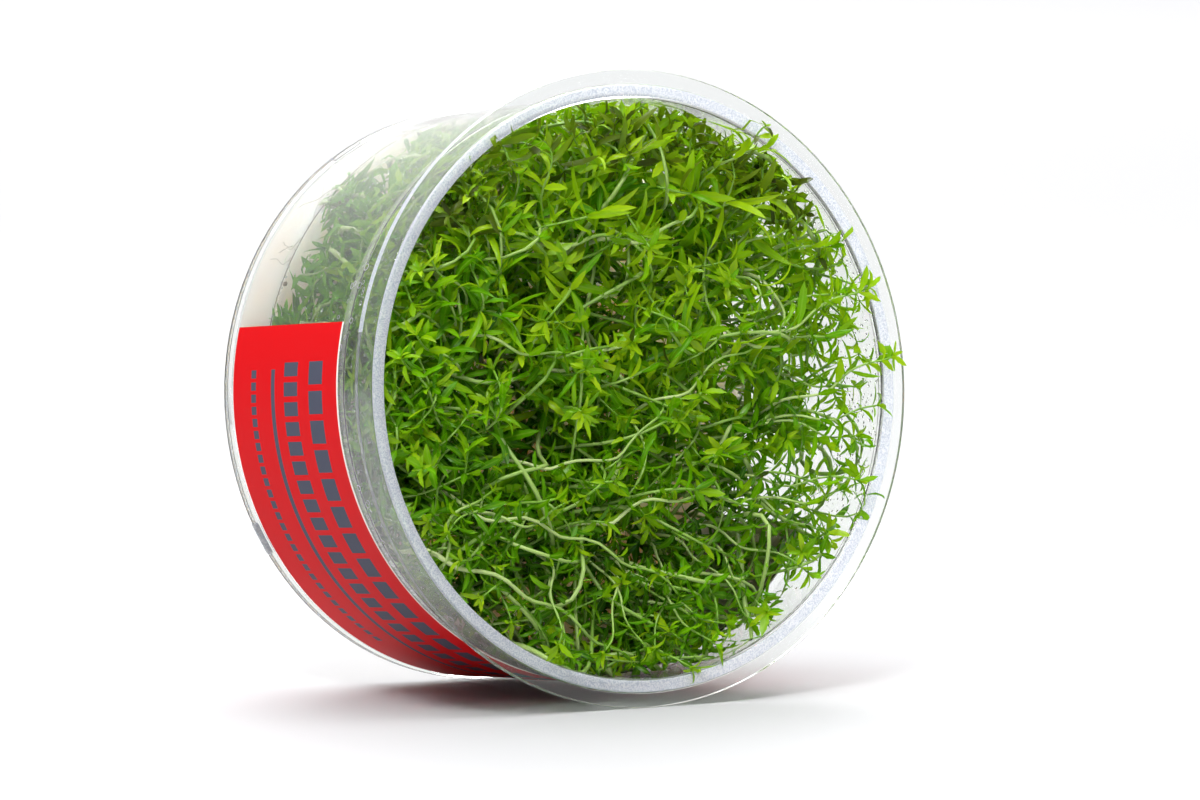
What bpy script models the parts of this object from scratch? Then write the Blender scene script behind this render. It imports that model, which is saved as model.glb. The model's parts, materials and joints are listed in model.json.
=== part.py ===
"""A clear tissue culture cup that lies on its side, filled to its mouth with small stem plants.

Everything is modelled upright, with the cup's axis along local +Z and its foot at zero, under one
empty. The empty then lays the cup down on the edge of its flange and the bead of its base, with the
mouth towards -Y. Lengths are in metres.
"""

import math
import random

import bmesh
import bpy
from mathutils import Matrix, Vector

MM = 0.001

# The cup: radii of its outer and inner skin, and heights above the face of its foot.
RIM_RADIUS = 50.0 * MM
BEAD_RADIUS = 45.5 * MM
PANEL_RADIUS_LOW = 45.1 * MM
PANEL_RADIUS_HIGH = 45.55 * MM
NECK_RADIUS = 46.15 * MM
WALL = 0.65 * MM
FLANGE_FACE = 51.65 * MM
FLANGE_THICKNESS = 1.25 * MM
LAND_INNER_RADIUS = 45.7 * MM
LAND_OUTER_RADIUS = 47.4 * MM
LAND_RISE = 0.65 * MM
FLOOR_UNDERSIDE = 0.9 * MM
FLOOR_TOP = 1.6 * MM
BEAD_LOW = 1.2 * MM
BEAD_HIGH = 2.2 * MM
PANEL_LOW = 2.8 * MM
PANEL_HIGH = 38.2 * MM
NECK_LOW = 39.0 * MM
FOOT_INNER_RADIUS = 42.6 * MM
FOOT_OUTER_RADIUS = 44.4 * MM
CUP_SIDES = 48

# The stacking lugs that stand at the foot of the wall.
LUG_COUNT = 4
LUG_FIRST_ANGLE = 208.0
LUG_LENGTH = 5.6 * MM
LUG_RADIAL = 1.2 * MM
LUG_HEIGHT = 1.2 * MM

# The paper label round the wall. Angles run from +X towards the top of the lying cup.
LABEL_START = 164.0
LABEL_END = 330.0
LABEL_LOW = 3.6 * MM
LABEL_HIGH = 37.5 * MM
LABEL_THICKNESS = 0.15 * MM
LABEL_STEPS = 24

# The nutrient gel that the plants root in.
GEL_TOP = 11.8 * MM
GEL_MENISCUS = 0.5 * MM
GAP = 0.3 * MM

# The plantlets: each stands in its own cell of a spiral pattern and reaches its leaf tips.
PLANT_COUNT = 36
PLANT_SEED = 7
SPIRAL_ANGLE = 137.508
CELL_JITTER = 1.2 * MM
BED_RADIUS = 43.9 * MM
BED_SIDES = 36
TIP_LOW = 49.5 * MM
TIP_HIGH = 54.5 * MM
# Height as a share of the plant's own, and the width of the clump there as a share of its cell.
CLUMP_SHAPE = ((0.0, 0.8), (0.25, 0.93), (0.55, 1.0), (0.88, 0.97), (0.96, 0.78))


def clear_scene() -> None:
    """Removes the objects that the file opened with."""
    for obj in list(bpy.data.objects):
        bpy.data.objects.remove(obj, do_unlink=True)


def finish(name: str, colour: tuple, roughness: float, alpha: float = 1.0) -> bpy.types.Material:
    """A plain Principled material with the piece's own colour."""
    material = bpy.data.materials.new(name)
    material.use_nodes = True
    shader = material.node_tree.nodes["Principled BSDF"]
    shader.inputs["Base Color"].default_value = (*colour, 1.0)
    shader.inputs["Roughness"].default_value = roughness
    shader.inputs["Metallic"].default_value = 0.0
    shader.inputs["Alpha"].default_value = alpha
    return material


def add_object(name: str, bm: bmesh.types.BMesh, material, parent) -> bpy.types.Object:
    """Turns a bmesh into a named object under the parent, with its normals facing out."""
    bmesh.ops.remove_doubles(bm, verts=bm.verts, dist=0.000001)
    bmesh.ops.recalc_face_normals(bm, faces=bm.faces)
    mesh = bpy.data.meshes.new(name)
    bm.to_mesh(mesh)
    bm.free()
    mesh.materials.append(material)
    mesh.shade_smooth()
    mesh.set_sharp_from_angle(angle=math.radians(30.0))
    obj = bpy.data.objects.new(name, mesh)
    obj.parent = parent
    bpy.context.scene.collection.objects.link(obj)
    return obj


def turned(outline: list, steps: int, start: float = 0.0, sweep: float = 360.0) -> bmesh.types.BMesh:
    """Turns an outline of (radius, height) points about the Z axis, from start through sweep degrees."""
    bm = bmesh.new()
    turn = Matrix.Rotation(math.radians(start), 3, "Z")
    points = [bm.verts.new(turn @ Vector((radius, 0.0, height))) for radius, height in outline]
    edges = [bm.edges.new(pair) for pair in zip(points, points[1:])]
    whole = sweep >= 360.0
    if not whole:
        edges.append(bm.edges.new((points[-1], points[0])))
    bmesh.ops.spin(
        bm,
        geom=points + edges,
        cent=(0.0, 0.0, 0.0),
        axis=(0.0, 0.0, 1.0),
        angle=math.radians(sweep),
        steps=steps,
        use_merge=whole,
    )
    return bm


def cup_outline() -> list:
    """The cup's section: from the middle of the underside, up the outer skin and back down inside."""
    underside = [
        (0.0, FLOOR_UNDERSIDE),
        (FOOT_INNER_RADIUS - 0.4 * MM, FLOOR_UNDERSIDE),
        (FOOT_INNER_RADIUS, 0.0),
        (FOOT_OUTER_RADIUS, 0.0),
        (BEAD_RADIUS - 0.3 * MM, 0.5 * MM),
    ]
    outer_skin = [
        (BEAD_RADIUS, BEAD_LOW),
        (BEAD_RADIUS, BEAD_HIGH),
        (PANEL_RADIUS_LOW, PANEL_LOW),
        (PANEL_RADIUS_HIGH, PANEL_HIGH),
        (NECK_RADIUS - 0.15 * MM, NECK_LOW),
        (NECK_RADIUS, FLANGE_FACE - FLANGE_THICKNESS - 0.4 * MM),
        (NECK_RADIUS + 0.3 * MM, FLANGE_FACE - FLANGE_THICKNESS),
    ]
    flange = [
        (RIM_RADIUS - 0.35 * MM, FLANGE_FACE - FLANGE_THICKNESS),
        (RIM_RADIUS, FLANGE_FACE - FLANGE_THICKNESS + 0.35 * MM),
        (RIM_RADIUS, FLANGE_FACE - 0.35 * MM),
        (RIM_RADIUS - 0.35 * MM, FLANGE_FACE),
        (LAND_OUTER_RADIUS + 0.2 * MM, FLANGE_FACE),
        (LAND_OUTER_RADIUS, FLANGE_FACE + LAND_RISE),
        (LAND_INNER_RADIUS, FLANGE_FACE + LAND_RISE),
    ]
    inner_skin = [
        (NECK_RADIUS - WALL, FLANGE_FACE),
        (NECK_RADIUS - 0.15 * MM - WALL, NECK_LOW),
        (PANEL_RADIUS_HIGH - WALL, PANEL_HIGH),
        (PANEL_RADIUS_LOW - WALL, FLOOR_TOP + 1.4 * MM),
        (PANEL_RADIUS_LOW - WALL - 0.4 * MM, FLOOR_TOP + 0.4 * MM),
        (PANEL_RADIUS_LOW - WALL - 1.4 * MM, FLOOR_TOP),
        (0.0, FLOOR_TOP),
    ]
    return underside + outer_skin + flange + inner_skin


def build_lug_cutter(angle: float) -> bpy.types.Object:
    """A rounded block on the base's edge, which the cup takes in by a union."""
    bm = bmesh.new()
    bmesh.ops.create_cube(bm, size=1.0)
    bmesh.ops.scale(bm, vec=(LUG_RADIAL, LUG_LENGTH, LUG_HEIGHT), verts=bm.verts)
    upright = [edge for edge in bm.edges if abs(edge.verts[0].co.z - edge.verts[1].co.z) > 0.5 * LUG_HEIGHT]
    bmesh.ops.bevel(
        bm, geom=upright, offset=0.3 * MM, segments=1, profile=0.5, affect="EDGES", material=-1
    )
    middle = Vector((FOOT_OUTER_RADIUS, 0.0, 0.5 * LUG_HEIGHT + 0.05 * MM))
    bmesh.ops.translate(bm, vec=middle, verts=bm.verts)
    bmesh.ops.rotate(
        bm, cent=(0.0, 0.0, 0.0), matrix=Matrix.Rotation(math.radians(angle), 3, "Z"), verts=bm.verts
    )
    mesh = bpy.data.meshes.new("lug_shape")
    bm.to_mesh(mesh)
    bm.free()
    lug = bpy.data.objects.new("lug_shape", mesh)
    lug.hide_render = True
    lug.display_type = "WIRE"
    bpy.context.scene.collection.objects.link(lug)
    return lug


def build_cup(parent: bpy.types.Object) -> bpy.types.Object:
    """The moulded cup with its flange, raised sealing land, foot ring and stacking lugs."""
    clear_plastic = finish("clear_polypropylene", (0.86, 0.9, 0.88), 0.12, 0.35)
    half_side = 180.0 / CUP_SIDES
    cup = add_object("cup", turned(cup_outline(), CUP_SIDES, start=half_side), clear_plastic, parent)
    for index in range(LUG_COUNT):
        lug = build_lug_cutter(LUG_FIRST_ANGLE + index * 360.0 / LUG_COUNT)
        lug.parent = parent
        union = cup.modifiers.new(f"lug_{index + 1}", "BOOLEAN")
        union.operation = "UNION"
        union.solver = "EXACT"
        union.object = lug
    return cup


def panel_radius(height: float) -> float:
    """The outer radius of the label panel at a height."""
    share = (height - PANEL_LOW) / (PANEL_HIGH - PANEL_LOW)
    return PANEL_RADIUS_LOW + share * (PANEL_RADIUS_HIGH - PANEL_RADIUS_LOW)


def build_label(parent: bpy.types.Object) -> bpy.types.Object:
    """The paper strip that wraps the lower half of the lying cup."""
    red_paper = finish("coated_label_paper", (0.8, 0.02, 0.03), 0.4)
    low, high = panel_radius(LABEL_LOW) + GAP, panel_radius(LABEL_HIGH) + GAP
    section = [
        (low, LABEL_LOW),
        (low + LABEL_THICKNESS, LABEL_LOW),
        (high + LABEL_THICKNESS, LABEL_HIGH),
        (high, LABEL_HIGH),
    ]
    bm = turned(section, LABEL_STEPS, start=LABEL_START, sweep=LABEL_END - LABEL_START)
    open_ends = [edge for edge in bm.edges if edge.is_boundary]
    bmesh.ops.holes_fill(bm, edges=open_ends, sides=0)
    return add_object("label", bm, red_paper, parent)


def build_gel(parent: bpy.types.Object) -> bpy.types.Object:
    """The disc of nutrient gel, a little higher where it climbs the wall."""
    agar = finish("agar_gel", (0.93, 0.84, 0.68), 0.25)
    radius = PANEL_RADIUS_LOW - WALL - GAP
    section = [
        (0.0, FLOOR_TOP + GAP),
        (radius - 1.4 * MM, FLOOR_TOP + GAP),
        (radius, FLOOR_TOP + 1.8 * MM),
        (radius, GEL_TOP + GEL_MENISCUS),
        (radius - 0.8 * MM, GEL_TOP + 0.15 * MM),
        (radius - 2.0 * MM, GEL_TOP),
        (0.0, GEL_TOP),
    ]
    return add_object("gel", turned(section, CUP_SIDES, start=180.0 / CUP_SIDES), agar, parent)


def plant_spots(rng: random.Random) -> list:
    """Where the plantlets stand: a sunflower spiral, each spot moved a little."""
    spots = []
    for index in range(PLANT_COUNT):
        radius = BED_RADIUS * math.sqrt((index + 0.5) / PLANT_COUNT)
        angle = math.radians(index * SPIRAL_ANGLE)
        nudge = Vector((rng.uniform(-CELL_JITTER, CELL_JITTER), rng.uniform(-CELL_JITTER, CELL_JITTER)))
        spots.append(Vector((radius * math.cos(angle), radius * math.sin(angle))) + nudge)
    return spots


def cell_face(spot: Vector, others: list) -> bmesh.types.BMesh:
    """One flat face: the bed's outline cut back halfway to each neighbouring plantlet."""
    bm = bmesh.new()
    bmesh.ops.create_circle(bm, cap_ends=True, radius=BED_RADIUS, segments=BED_SIDES)
    for other in others:
        away = (other - spot).normalized()
        border = (spot + other) / 2 - away * GAP / 2
        bmesh.ops.bisect_plane(
            bm,
            geom=bm.verts[:] + bm.edges[:] + bm.faces[:],
            dist=0.000001,
            plane_co=(*border, 0.0),
            plane_no=(*away, 0.0),
            clear_outer=True,
        )
    short_edges = 0.5 * MM
    bmesh.ops.remove_doubles(bm, verts=bm.verts, dist=short_edges)
    return bm


def build_plantlet(index: int, spots: list, tip: float, material, parent) -> bpy.types.Object:
    """A clump that holds one plantlet: narrow at the gel, filling its cell above, pointed on top."""
    others = [spot for number, spot in enumerate(spots) if number != index]
    bm = cell_face(spots[index], others)
    face = bm.faces[:][0]
    middle = face.calc_center_median()
    root = GEL_TOP + GEL_MENISCUS + GAP
    rings = [(root + share * (tip - root), width) for share, width in CLUMP_SHAPE]
    outline = [vert.co - middle for vert in face.verts]
    for vert, offset in zip(face.verts, outline):
        vert.co = middle + offset * rings[0][1] + Vector((0.0, 0.0, rings[0][0]))
    for level, (height, width) in enumerate(rings[1:]):
        below = face
        made = bmesh.ops.extrude_face_region(bm, geom=[below])["geom"]
        face = next(item for item in made if isinstance(item, bmesh.types.BMFace))
        if level > 0:
            bmesh.ops.delete(bm, geom=[below], context="FACES_ONLY")
        growth = width / rings[level][1]
        for vert in face.verts:
            vert.co.xy = middle.xy + (vert.co.xy - middle.xy) * growth
            vert.co.z = height
    crown = bmesh.ops.poke(bm, faces=[face])["verts"]
    for vert in crown:
        vert.co.z = tip
    return add_object(f"plantlet_{index + 1:02d}", bm, material, parent)


def build_plants(parent: bpy.types.Object) -> None:
    """All the plantlets of the bed, their tips at different heights about the cup's mouth."""
    leaf_green = finish("leaf", (0.16, 0.42, 0.03), 0.45)
    rng = random.Random(PLANT_SEED)
    spots = plant_spots(rng)
    for index in range(PLANT_COUNT):
        build_plantlet(index, spots, rng.uniform(TIP_LOW, TIP_HIGH), leaf_green, parent)


def lay_down(parent: bpy.types.Object) -> None:
    """Tips the cup onto its flange and base bead and centres its footprint on the origin."""
    flat = math.cos(math.pi / CUP_SIDES)
    drop = (RIM_RADIUS - BEAD_RADIUS) * flat
    tilt = math.atan2(drop, FLANGE_FACE - FLANGE_THICKNESS + 0.35 * MM - BEAD_LOW)
    parent.rotation_euler = (math.radians(90.0) - tilt, 0.0, 0.0)
    bpy.context.view_layer.update()
    corners = []
    for obj in parent.children:
        if not obj.hide_render:
            corners += [obj.matrix_world @ vert.co for vert in obj.data.vertices]
    lowest = [min(corner[axis] for corner in corners) for axis in range(3)]
    highest = [max(corner[axis] for corner in corners) for axis in range(3)]
    parent.location = (
        -(lowest[0] + highest[0]) / 2,
        -(lowest[1] + highest[1]) / 2,
        -lowest[2],
    )
    bpy.context.view_layer.update()


def main() -> None:
    """Builds the cup, its label, the gel and the plantlets."""
    clear_scene()
    cup_axis = bpy.data.objects.new("cup_axis", None)
    bpy.context.scene.collection.objects.link(cup_axis)
    build_cup(cup_axis)
    build_label(cup_axis)
    build_gel(cup_axis)
    build_plants(cup_axis)
    lay_down(cup_axis)


if __name__ == "__main__":
    main()
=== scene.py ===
"""The looks of an open tissue culture cup that lies on its side, full of whorled stem plants.

The cup, its label, the gel and every plantlet are modelled upright in the cup's own axes: +Z out of
the mouth, +Y up the side of the lying cup, zero at the face of its foot. The frame's foot mount then
says where those axes lie. Lengths are in metres.
"""

import json
import logging
import math
import random
from dataclasses import dataclass, field
from enum import Enum
from typing import Any, Iterable, Sequence

import bmesh
import bpy
import numpy as np
from mathutils import Matrix, Vector


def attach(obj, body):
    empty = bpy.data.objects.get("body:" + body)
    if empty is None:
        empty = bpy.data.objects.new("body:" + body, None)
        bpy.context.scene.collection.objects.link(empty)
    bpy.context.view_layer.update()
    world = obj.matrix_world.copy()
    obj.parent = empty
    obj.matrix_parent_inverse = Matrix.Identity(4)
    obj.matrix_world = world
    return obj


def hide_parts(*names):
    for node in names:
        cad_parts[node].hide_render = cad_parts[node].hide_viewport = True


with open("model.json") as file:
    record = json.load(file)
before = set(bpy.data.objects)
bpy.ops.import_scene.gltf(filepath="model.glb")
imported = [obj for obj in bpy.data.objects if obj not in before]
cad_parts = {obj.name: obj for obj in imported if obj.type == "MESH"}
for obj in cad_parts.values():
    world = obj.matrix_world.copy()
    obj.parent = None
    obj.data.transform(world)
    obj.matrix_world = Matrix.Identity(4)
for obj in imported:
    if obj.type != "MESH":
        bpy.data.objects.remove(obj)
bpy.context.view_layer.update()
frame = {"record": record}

MM = 0.001
LOG = logging.getLogger("culture_cup")


def linear(code: str) -> tuple[float, float, float, float]:
    """Turns an sRGB hex colour into linear red, green, blue and alpha.

    Args:
        code: six hex digits, with or without a leading hash.

    Returns:
        The linear colour with an alpha of 1.
    """
    digits = code.lstrip("#")
    shares = [int(digits[i : i + 2], 16) / 255 for i in (0, 2, 4)]
    red, green, blue = (s / 12.92 if s <= 0.04045 else ((s + 0.055) / 1.055) ** 2.4 for s in shares)
    return red, green, blue, 1.0


def add_node(
    tree: bpy.types.NodeTree,
    kind: str,
    settings: dict[str, Any] | None = None,
    inputs: dict[Any, Any] | None = None,
) -> bpy.types.Node:
    """Adds a shader node with its settings and its links.

    Args:
        tree: the material's node tree.
        kind: the node's type name.
        settings: properties of the node by name.
        inputs: input sockets by name or number; a socket as the value is linked, a plain value is set.

    Returns:
        The new node.
    """
    node = tree.nodes.new(kind)
    for name, value in (settings or {}).items():
        setattr(node, name, value)
    for key, value in (inputs or {}).items():
        if isinstance(value, bpy.types.NodeSocket):
            tree.links.new(value, node.inputs[key])
        else:
            node.inputs[key].default_value = value
    return node


def new_material(name: str) -> tuple[bpy.types.Material, bpy.types.NodeTree, bpy.types.Node]:
    """Makes an empty node material.

    Args:
        name: the real material's name.

    Returns:
        The material, its node tree and its output node.
    """
    material = bpy.data.materials.new(name)
    material.use_nodes = True
    tree = material.node_tree
    tree.nodes.clear()
    return material, tree, tree.nodes.new("ShaderNodeOutputMaterial")


def set_ramp(node: bpy.types.Node, stops: Sequence[tuple[float, str]]) -> None:
    """Gives a colour ramp its stops.

    Args:
        node: the colour ramp node.
        stops: position and sRGB hex colour of each stop, in order.
    """
    elements = node.color_ramp.elements
    while len(elements) < len(stops):
        elements.new(0.5)
    for element, (position, code) in zip(elements, stops):
        element.position = position
        element.color = linear(code)


@dataclass(frozen=True)
class CupShape:
    """The cup's section. Radii from its axis and heights above the face of its foot."""

    rim_radius: float = 50.0 * MM
    bead_radius: float = 45.5 * MM
    panel_radius_low: float = 45.1 * MM
    panel_radius_high: float = 45.55 * MM
    neck_radius: float = 46.15 * MM
    neck_taper: float = 0.15 * MM
    wall: float = 0.65 * MM
    flange_face: float = 51.65 * MM
    flange_thickness: float = 1.25 * MM
    land_inner_radius: float = 45.7 * MM
    land_outer_radius: float = 47.4 * MM
    land_rise: float = 0.65 * MM
    land_slope: float = 0.15 * MM
    floor_underside: float = 0.9 * MM
    floor_top: float = 1.6 * MM
    floor_round: float = 0.6 * MM
    bead_low: float = 1.0 * MM
    bead_high: float = 2.2 * MM
    panel_low: float = 2.8 * MM
    panel_high: float = 38.2 * MM
    neck_low: float = 39.0 * MM
    foot_inner_radius: float = 42.6 * MM
    foot_outer_radius: float = 44.4 * MM
    foot_middle: float = 43.4 * MM
    foot_slope: float = 0.4 * MM
    cad_sides: int = 48
    gel_top: float = 11.8 * MM

    @property
    def flat(self) -> float:
        """The flat of the solid cup's sides as a share of its radius, which the round cup rests on."""
        return math.cos(math.pi / self.cad_sides)

    def panel_radius(self, height: float) -> float:
        """The outer radius of the label panel at a height.

        Args:
            height: height above the foot.

        Returns:
            The radius there.
        """
        share = (height - self.panel_low) / (self.panel_high - self.panel_low)
        return (self.panel_radius_low + share * (self.panel_radius_high - self.panel_radius_low)) * self.flat

    def inner_radii(self, heights: np.ndarray) -> np.ndarray:
        """The inner radius of the wall at many heights.

        Args:
            heights: heights above the foot.

        Returns:
            The radius at each height.
        """
        places = (self.floor_top, self.panel_high, self.neck_low, self.flange_face)
        neck = (self.neck_radius - self.neck_taper, self.neck_radius)
        outer = np.array((self.panel_radius_low, self.panel_radius_high, *neck))
        return np.interp(heights, places, outer * self.flat - self.wall)


@dataclass(frozen=True)
class CupAxes:
    """Where the lying cup's own axes are in the row's frame."""

    matrix: Matrix

    @classmethod
    def from_foot(cls, mount: dict[str, Any], foot_middle: float) -> "CupAxes":
        """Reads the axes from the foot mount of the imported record.

        Args:
            mount: the mount, whose axis points out of the base and whose point is at the ring's top.
            foot_middle: how far that point is from the cup's axis.

        Returns:
            The cup's axes.
        """
        mouth = -Vector(mount["axis"]).normalized()
        side = Vector((1.0, 0.0, 0.0))
        up = mouth.cross(side)
        turn = Matrix((side, up, mouth)).transposed().to_4x4()
        return cls(Matrix.Translation(Vector(mount["pos_m"]) - up * foot_middle) @ turn)

    def place(self, points: np.ndarray) -> np.ndarray:
        """Moves points from the cup's axes to the row's frame.

        Args:
            points: one point a row.

        Returns:
            The moved points.
        """
        moved = np.array(self.matrix)
        return points @ moved[:3, :3].T + moved[:3, 3]


@dataclass
class CupPart:
    """What every part of the cup is built from: the cup's section and where its axes lie."""

    shape: CupShape
    axes: CupAxes


def show(
    name: str, mesh: bpy.types.Mesh, materials: Iterable[bpy.types.Material]
) -> bpy.types.Object:
    """Puts a finished mesh in the scene as a piece that rides on the row's body.

    Args:
        name: the piece's name.
        mesh: its mesh, already in place.
        materials: its materials, in the order of the mesh's slots.

    Returns:
        The piece.
    """
    for material in materials:
        mesh.materials.append(material)
    piece = bpy.data.objects.new(name, mesh)
    bpy.context.scene.collection.objects.link(piece)
    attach(piece, "root")
    return piece


def shade_evenly(piece: bpy.types.Object) -> None:
    """Makes the large faces of a piece set the shading, so that its narrow rounds don't tilt it.

    Args:
        piece: the piece.
    """
    piece.modifiers.new("even_shading", "WEIGHTED_NORMAL").keep_sharp = True


def finished_mesh(name: str, bm: bmesh.types.BMesh, axes: CupAxes, sharp: float = 35.0) -> bpy.types.Mesh:
    """Places a bmesh in the row's frame and turns it into a smooth mesh.

    Args:
        name: the mesh's name.
        bm: the shape in the cup's axes; it is freed.
        axes: where the cup's axes lie.
        sharp: edges over this angle, in degrees, stay sharp.

    Returns:
        The mesh.
    """
    bmesh.ops.transform(bm, matrix=axes.matrix, verts=bm.verts)
    mesh = bpy.data.meshes.new(name)
    bm.to_mesh(mesh)
    bm.free()
    mesh.shade_smooth()
    mesh.set_sharp_from_angle(angle=math.radians(sharp))
    return mesh


def turned(
    outline: Sequence[tuple[float, float]],
    steps: int,
    rounding: float = 0.0,
    start: float = 0.0,
    sweep: float = 360.0,
) -> bmesh.types.BMesh:
    """Turns an outline about the cup's axis.

    Args:
        outline: points of (radius, height). An open one starts and ends on the axis.
        steps: how many steps the turn takes.
        rounding: the width of the round put on each corner.
        start: the first angle, in degrees.
        sweep: the angle turned through, in degrees.

    Returns:
        The closed shape with its faces outwards.
    """
    whole = sweep >= 360.0
    bm = bmesh.new()
    first = Matrix.Rotation(math.radians(start), 3, "Z")
    points = [bm.verts.new(first @ Vector((radius, 0.0, height))) for radius, height in outline]
    for pair in zip(points, points[1:] if whole else points[1:] + points[:1]):
        bm.edges.new(pair)
    if rounding > 0.0:
        corners = [point for point in points if len(point.link_edges) == 2]
        bmesh.ops.bevel(
            bm,
            geom=corners,
            offset=rounding,
            segments=3,
            profile=0.5,
            affect="VERTICES",
            clamp_overlap=True,
            material=-1,
        )
    bmesh.ops.spin(
        bm,
        geom=bm.verts[:] + bm.edges[:],
        cent=(0.0, 0.0, 0.0),
        axis=(0.0, 0.0, 1.0),
        angle=math.radians(sweep),
        steps=steps,
        use_merge=whole,
    )
    if not whole:
        bmesh.ops.holes_fill(bm, edges=[edge for edge in bm.edges if edge.is_boundary], sides=0)
    bmesh.ops.remove_doubles(bm, verts=bm.verts, dist=0.002 * MM)
    bmesh.ops.recalc_face_normals(bm, faces=bm.faces)
    return bm


def relief(
    tree: bpy.types.NodeTree, size: float, detail: float, height: float
) -> tuple[bpy.types.Node, bpy.types.Node]:
    """Adds the fine relief of a surface: a noise on the piece and a bump made from it.

    Args:
        tree: the material's node tree.
        size: the width of one wave or grain.
        detail: how much finer noise lies on it.
        height: how high it stands.

    Returns:
        The noise node and the bump node.
    """
    place = add_node(tree, "ShaderNodeTexCoord")
    noise = add_node(
        tree,
        "ShaderNodeTexNoise",
        inputs={"Vector": place.outputs["Object"], "Scale": 1.0 / size, "Detail": detail},
    )
    bump = add_node(
        tree, "ShaderNodeBump", inputs={"Height": noise.outputs["Fac"], "Distance": height, "Strength": 1.0}
    )
    return noise, bump


@dataclass(frozen=True)
class PlainFinish:
    """A finish that is the same all over its surface."""

    name: str
    tint: str
    roughness: float
    ior: float = 1.5
    specular: float = 0.5
    clearness: float = 0.0

    def build(self) -> bpy.types.Material:
        """Builds the material.

        Returns:
            The finish under its own name.
        """
        material, tree, output = new_material(self.name)
        shader = add_node(
            tree,
            "ShaderNodeBsdfPrincipled",
            inputs={
                "Base Color": linear(self.tint),
                "Roughness": self.roughness,
                "IOR": self.ior,
                "Specular IOR Level": self.specular,
                "Transmission Weight": self.clearness,
            },
        )
        tree.links.new(shader.outputs["BSDF"], output.inputs["Surface"])
        return material


# Condensed water: clear, very smooth beads that bend what is behind them.
CONDENSED_WATER = PlainFinish("condensed_water", "#FFFFFF", 0.0, ior=1.333, clearness=1.0)
# The foamy edge that a bubble leaves: milky and white.
FOAM_EDGE = PlainFinish("foam_edge", "#FFFFFF", 0.3, ior=1.333, clearness=0.15)
# The glued back of the label paper: white paper greyed by painted shade, with the red print showing through
# as pink.
PAPER_BACK = PlainFinish("label_paper_back", "#C8A8AE", 0.6)
# Fine dry root and crumbs of old leaf: dull brown.
ROOT_TISSUE = PlainFinish("root_tissue", "#7A6248", 0.7)
# The studio's table: a matt pale sheet with hardly any gloss.
WHITE_TABLE = PlainFinish("white_table", "#B6B6B8", 0.6, specular=0.1)


@dataclass(frozen=True)
class ClearPolypropylene:
    """Clear polypropylene, injection moulded.

    It is see-through and glossy, with the faint milkiness and slow waves of a thin moulded wall.
    """

    tint: str = "#F8FAF8"
    roughness: float = 0.03
    ior: float = 1.49
    milkiness: float = 0.03
    wave_size: float = 9.0 * MM
    wave_height: float = 0.02 * MM

    def build(self) -> bpy.types.Material:
        """Builds the material.

        Returns:
            The clear plastic.
        """
        material, tree, output = new_material("clear_polypropylene")
        _, bump = relief(tree, self.wave_size, 1.0, self.wave_height)
        shader = add_node(
            tree,
            "ShaderNodeBsdfPrincipled",
            inputs={
                "Base Color": linear(self.tint),
                "Roughness": self.roughness,
                "IOR": self.ior,
                "Transmission Weight": 1.0 - self.milkiness,
                "Normal": bump.outputs["Normal"],
            },
        )
        tree.links.new(shader.outputs["BSDF"], output.inputs["Surface"])
        return material


@dataclass(frozen=True)
class FrostedLand:
    """The sealing land of the same plastic, roughened by the hot jaw that welded the foil to it.

    It scatters light to a cold bluish white, with a fine grain.
    """

    pale: str = "#F2F5FA"
    dull: str = "#BFC8D8"
    roughness: float = 0.35
    ior: float = 1.49
    clearness: float = 0.5
    grain_size: float = 0.22 * MM
    grain_height: float = 0.05 * MM

    def build(self) -> bpy.types.Material:
        """Builds the material.

        Returns:
            The frosted plastic.
        """
        material, tree, output = new_material("heat_frosted_polypropylene")
        grain, bump = relief(tree, self.grain_size, 3.0, self.grain_height)
        shade = add_node(tree, "ShaderNodeValToRGB", inputs={"Fac": grain.outputs["Fac"]})
        set_ramp(shade, ((0.4, self.dull), (0.58, self.pale)))
        shader = add_node(
            tree,
            "ShaderNodeBsdfPrincipled",
            inputs={
                "Base Color": shade.outputs["Color"],
                "Roughness": self.roughness,
                "IOR": self.ior,
                "Transmission Weight": self.clearness,
                "Normal": bump.outputs["Normal"],
            },
        )
        tree.links.new(shader.outputs["BSDF"], output.inputs["Surface"])
        return material


@dataclass(frozen=True)
class Agar:
    """Set agar gel: wet, cream and cloudy, with slow paler and darker clouds in it."""

    pale: str = "#FFF3EC"
    deep: str = "#FBE8DE"
    roughness: float = 0.2
    ior: float = 1.34
    cloud_size: float = 14.0 * MM
    scatter_depth: float = 12.0 * MM
    scatter_reach: tuple[float, float, float] = (1.0, 0.9, 0.75)

    def build(self) -> bpy.types.Material:
        """Builds the material.

        Returns:
            The gel.
        """
        material, tree, output = new_material("agar_gel")
        place = add_node(tree, "ShaderNodeTexCoord")
        clouds = add_node(
            tree,
            "ShaderNodeTexNoise",
            inputs={"Vector": place.outputs["Object"], "Scale": 1.0 / self.cloud_size, "Detail": 2.0},
        )
        ramp = add_node(tree, "ShaderNodeValToRGB", inputs={"Fac": clouds.outputs["Fac"]})
        set_ramp(ramp, ((0.35, self.deep), (0.65, self.pale)))
        shader = add_node(
            tree,
            "ShaderNodeBsdfPrincipled",
            inputs={
                "Base Color": ramp.outputs["Color"],
                "Roughness": self.roughness,
                "IOR": self.ior,
                "Subsurface Weight": 1.0,
                "Subsurface Radius": self.scatter_reach,
                "Subsurface Scale": self.scatter_depth,
            },
        )
        tree.links.new(shader.outputs["BSDF"], output.inputs["Surface"])
        return material


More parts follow.
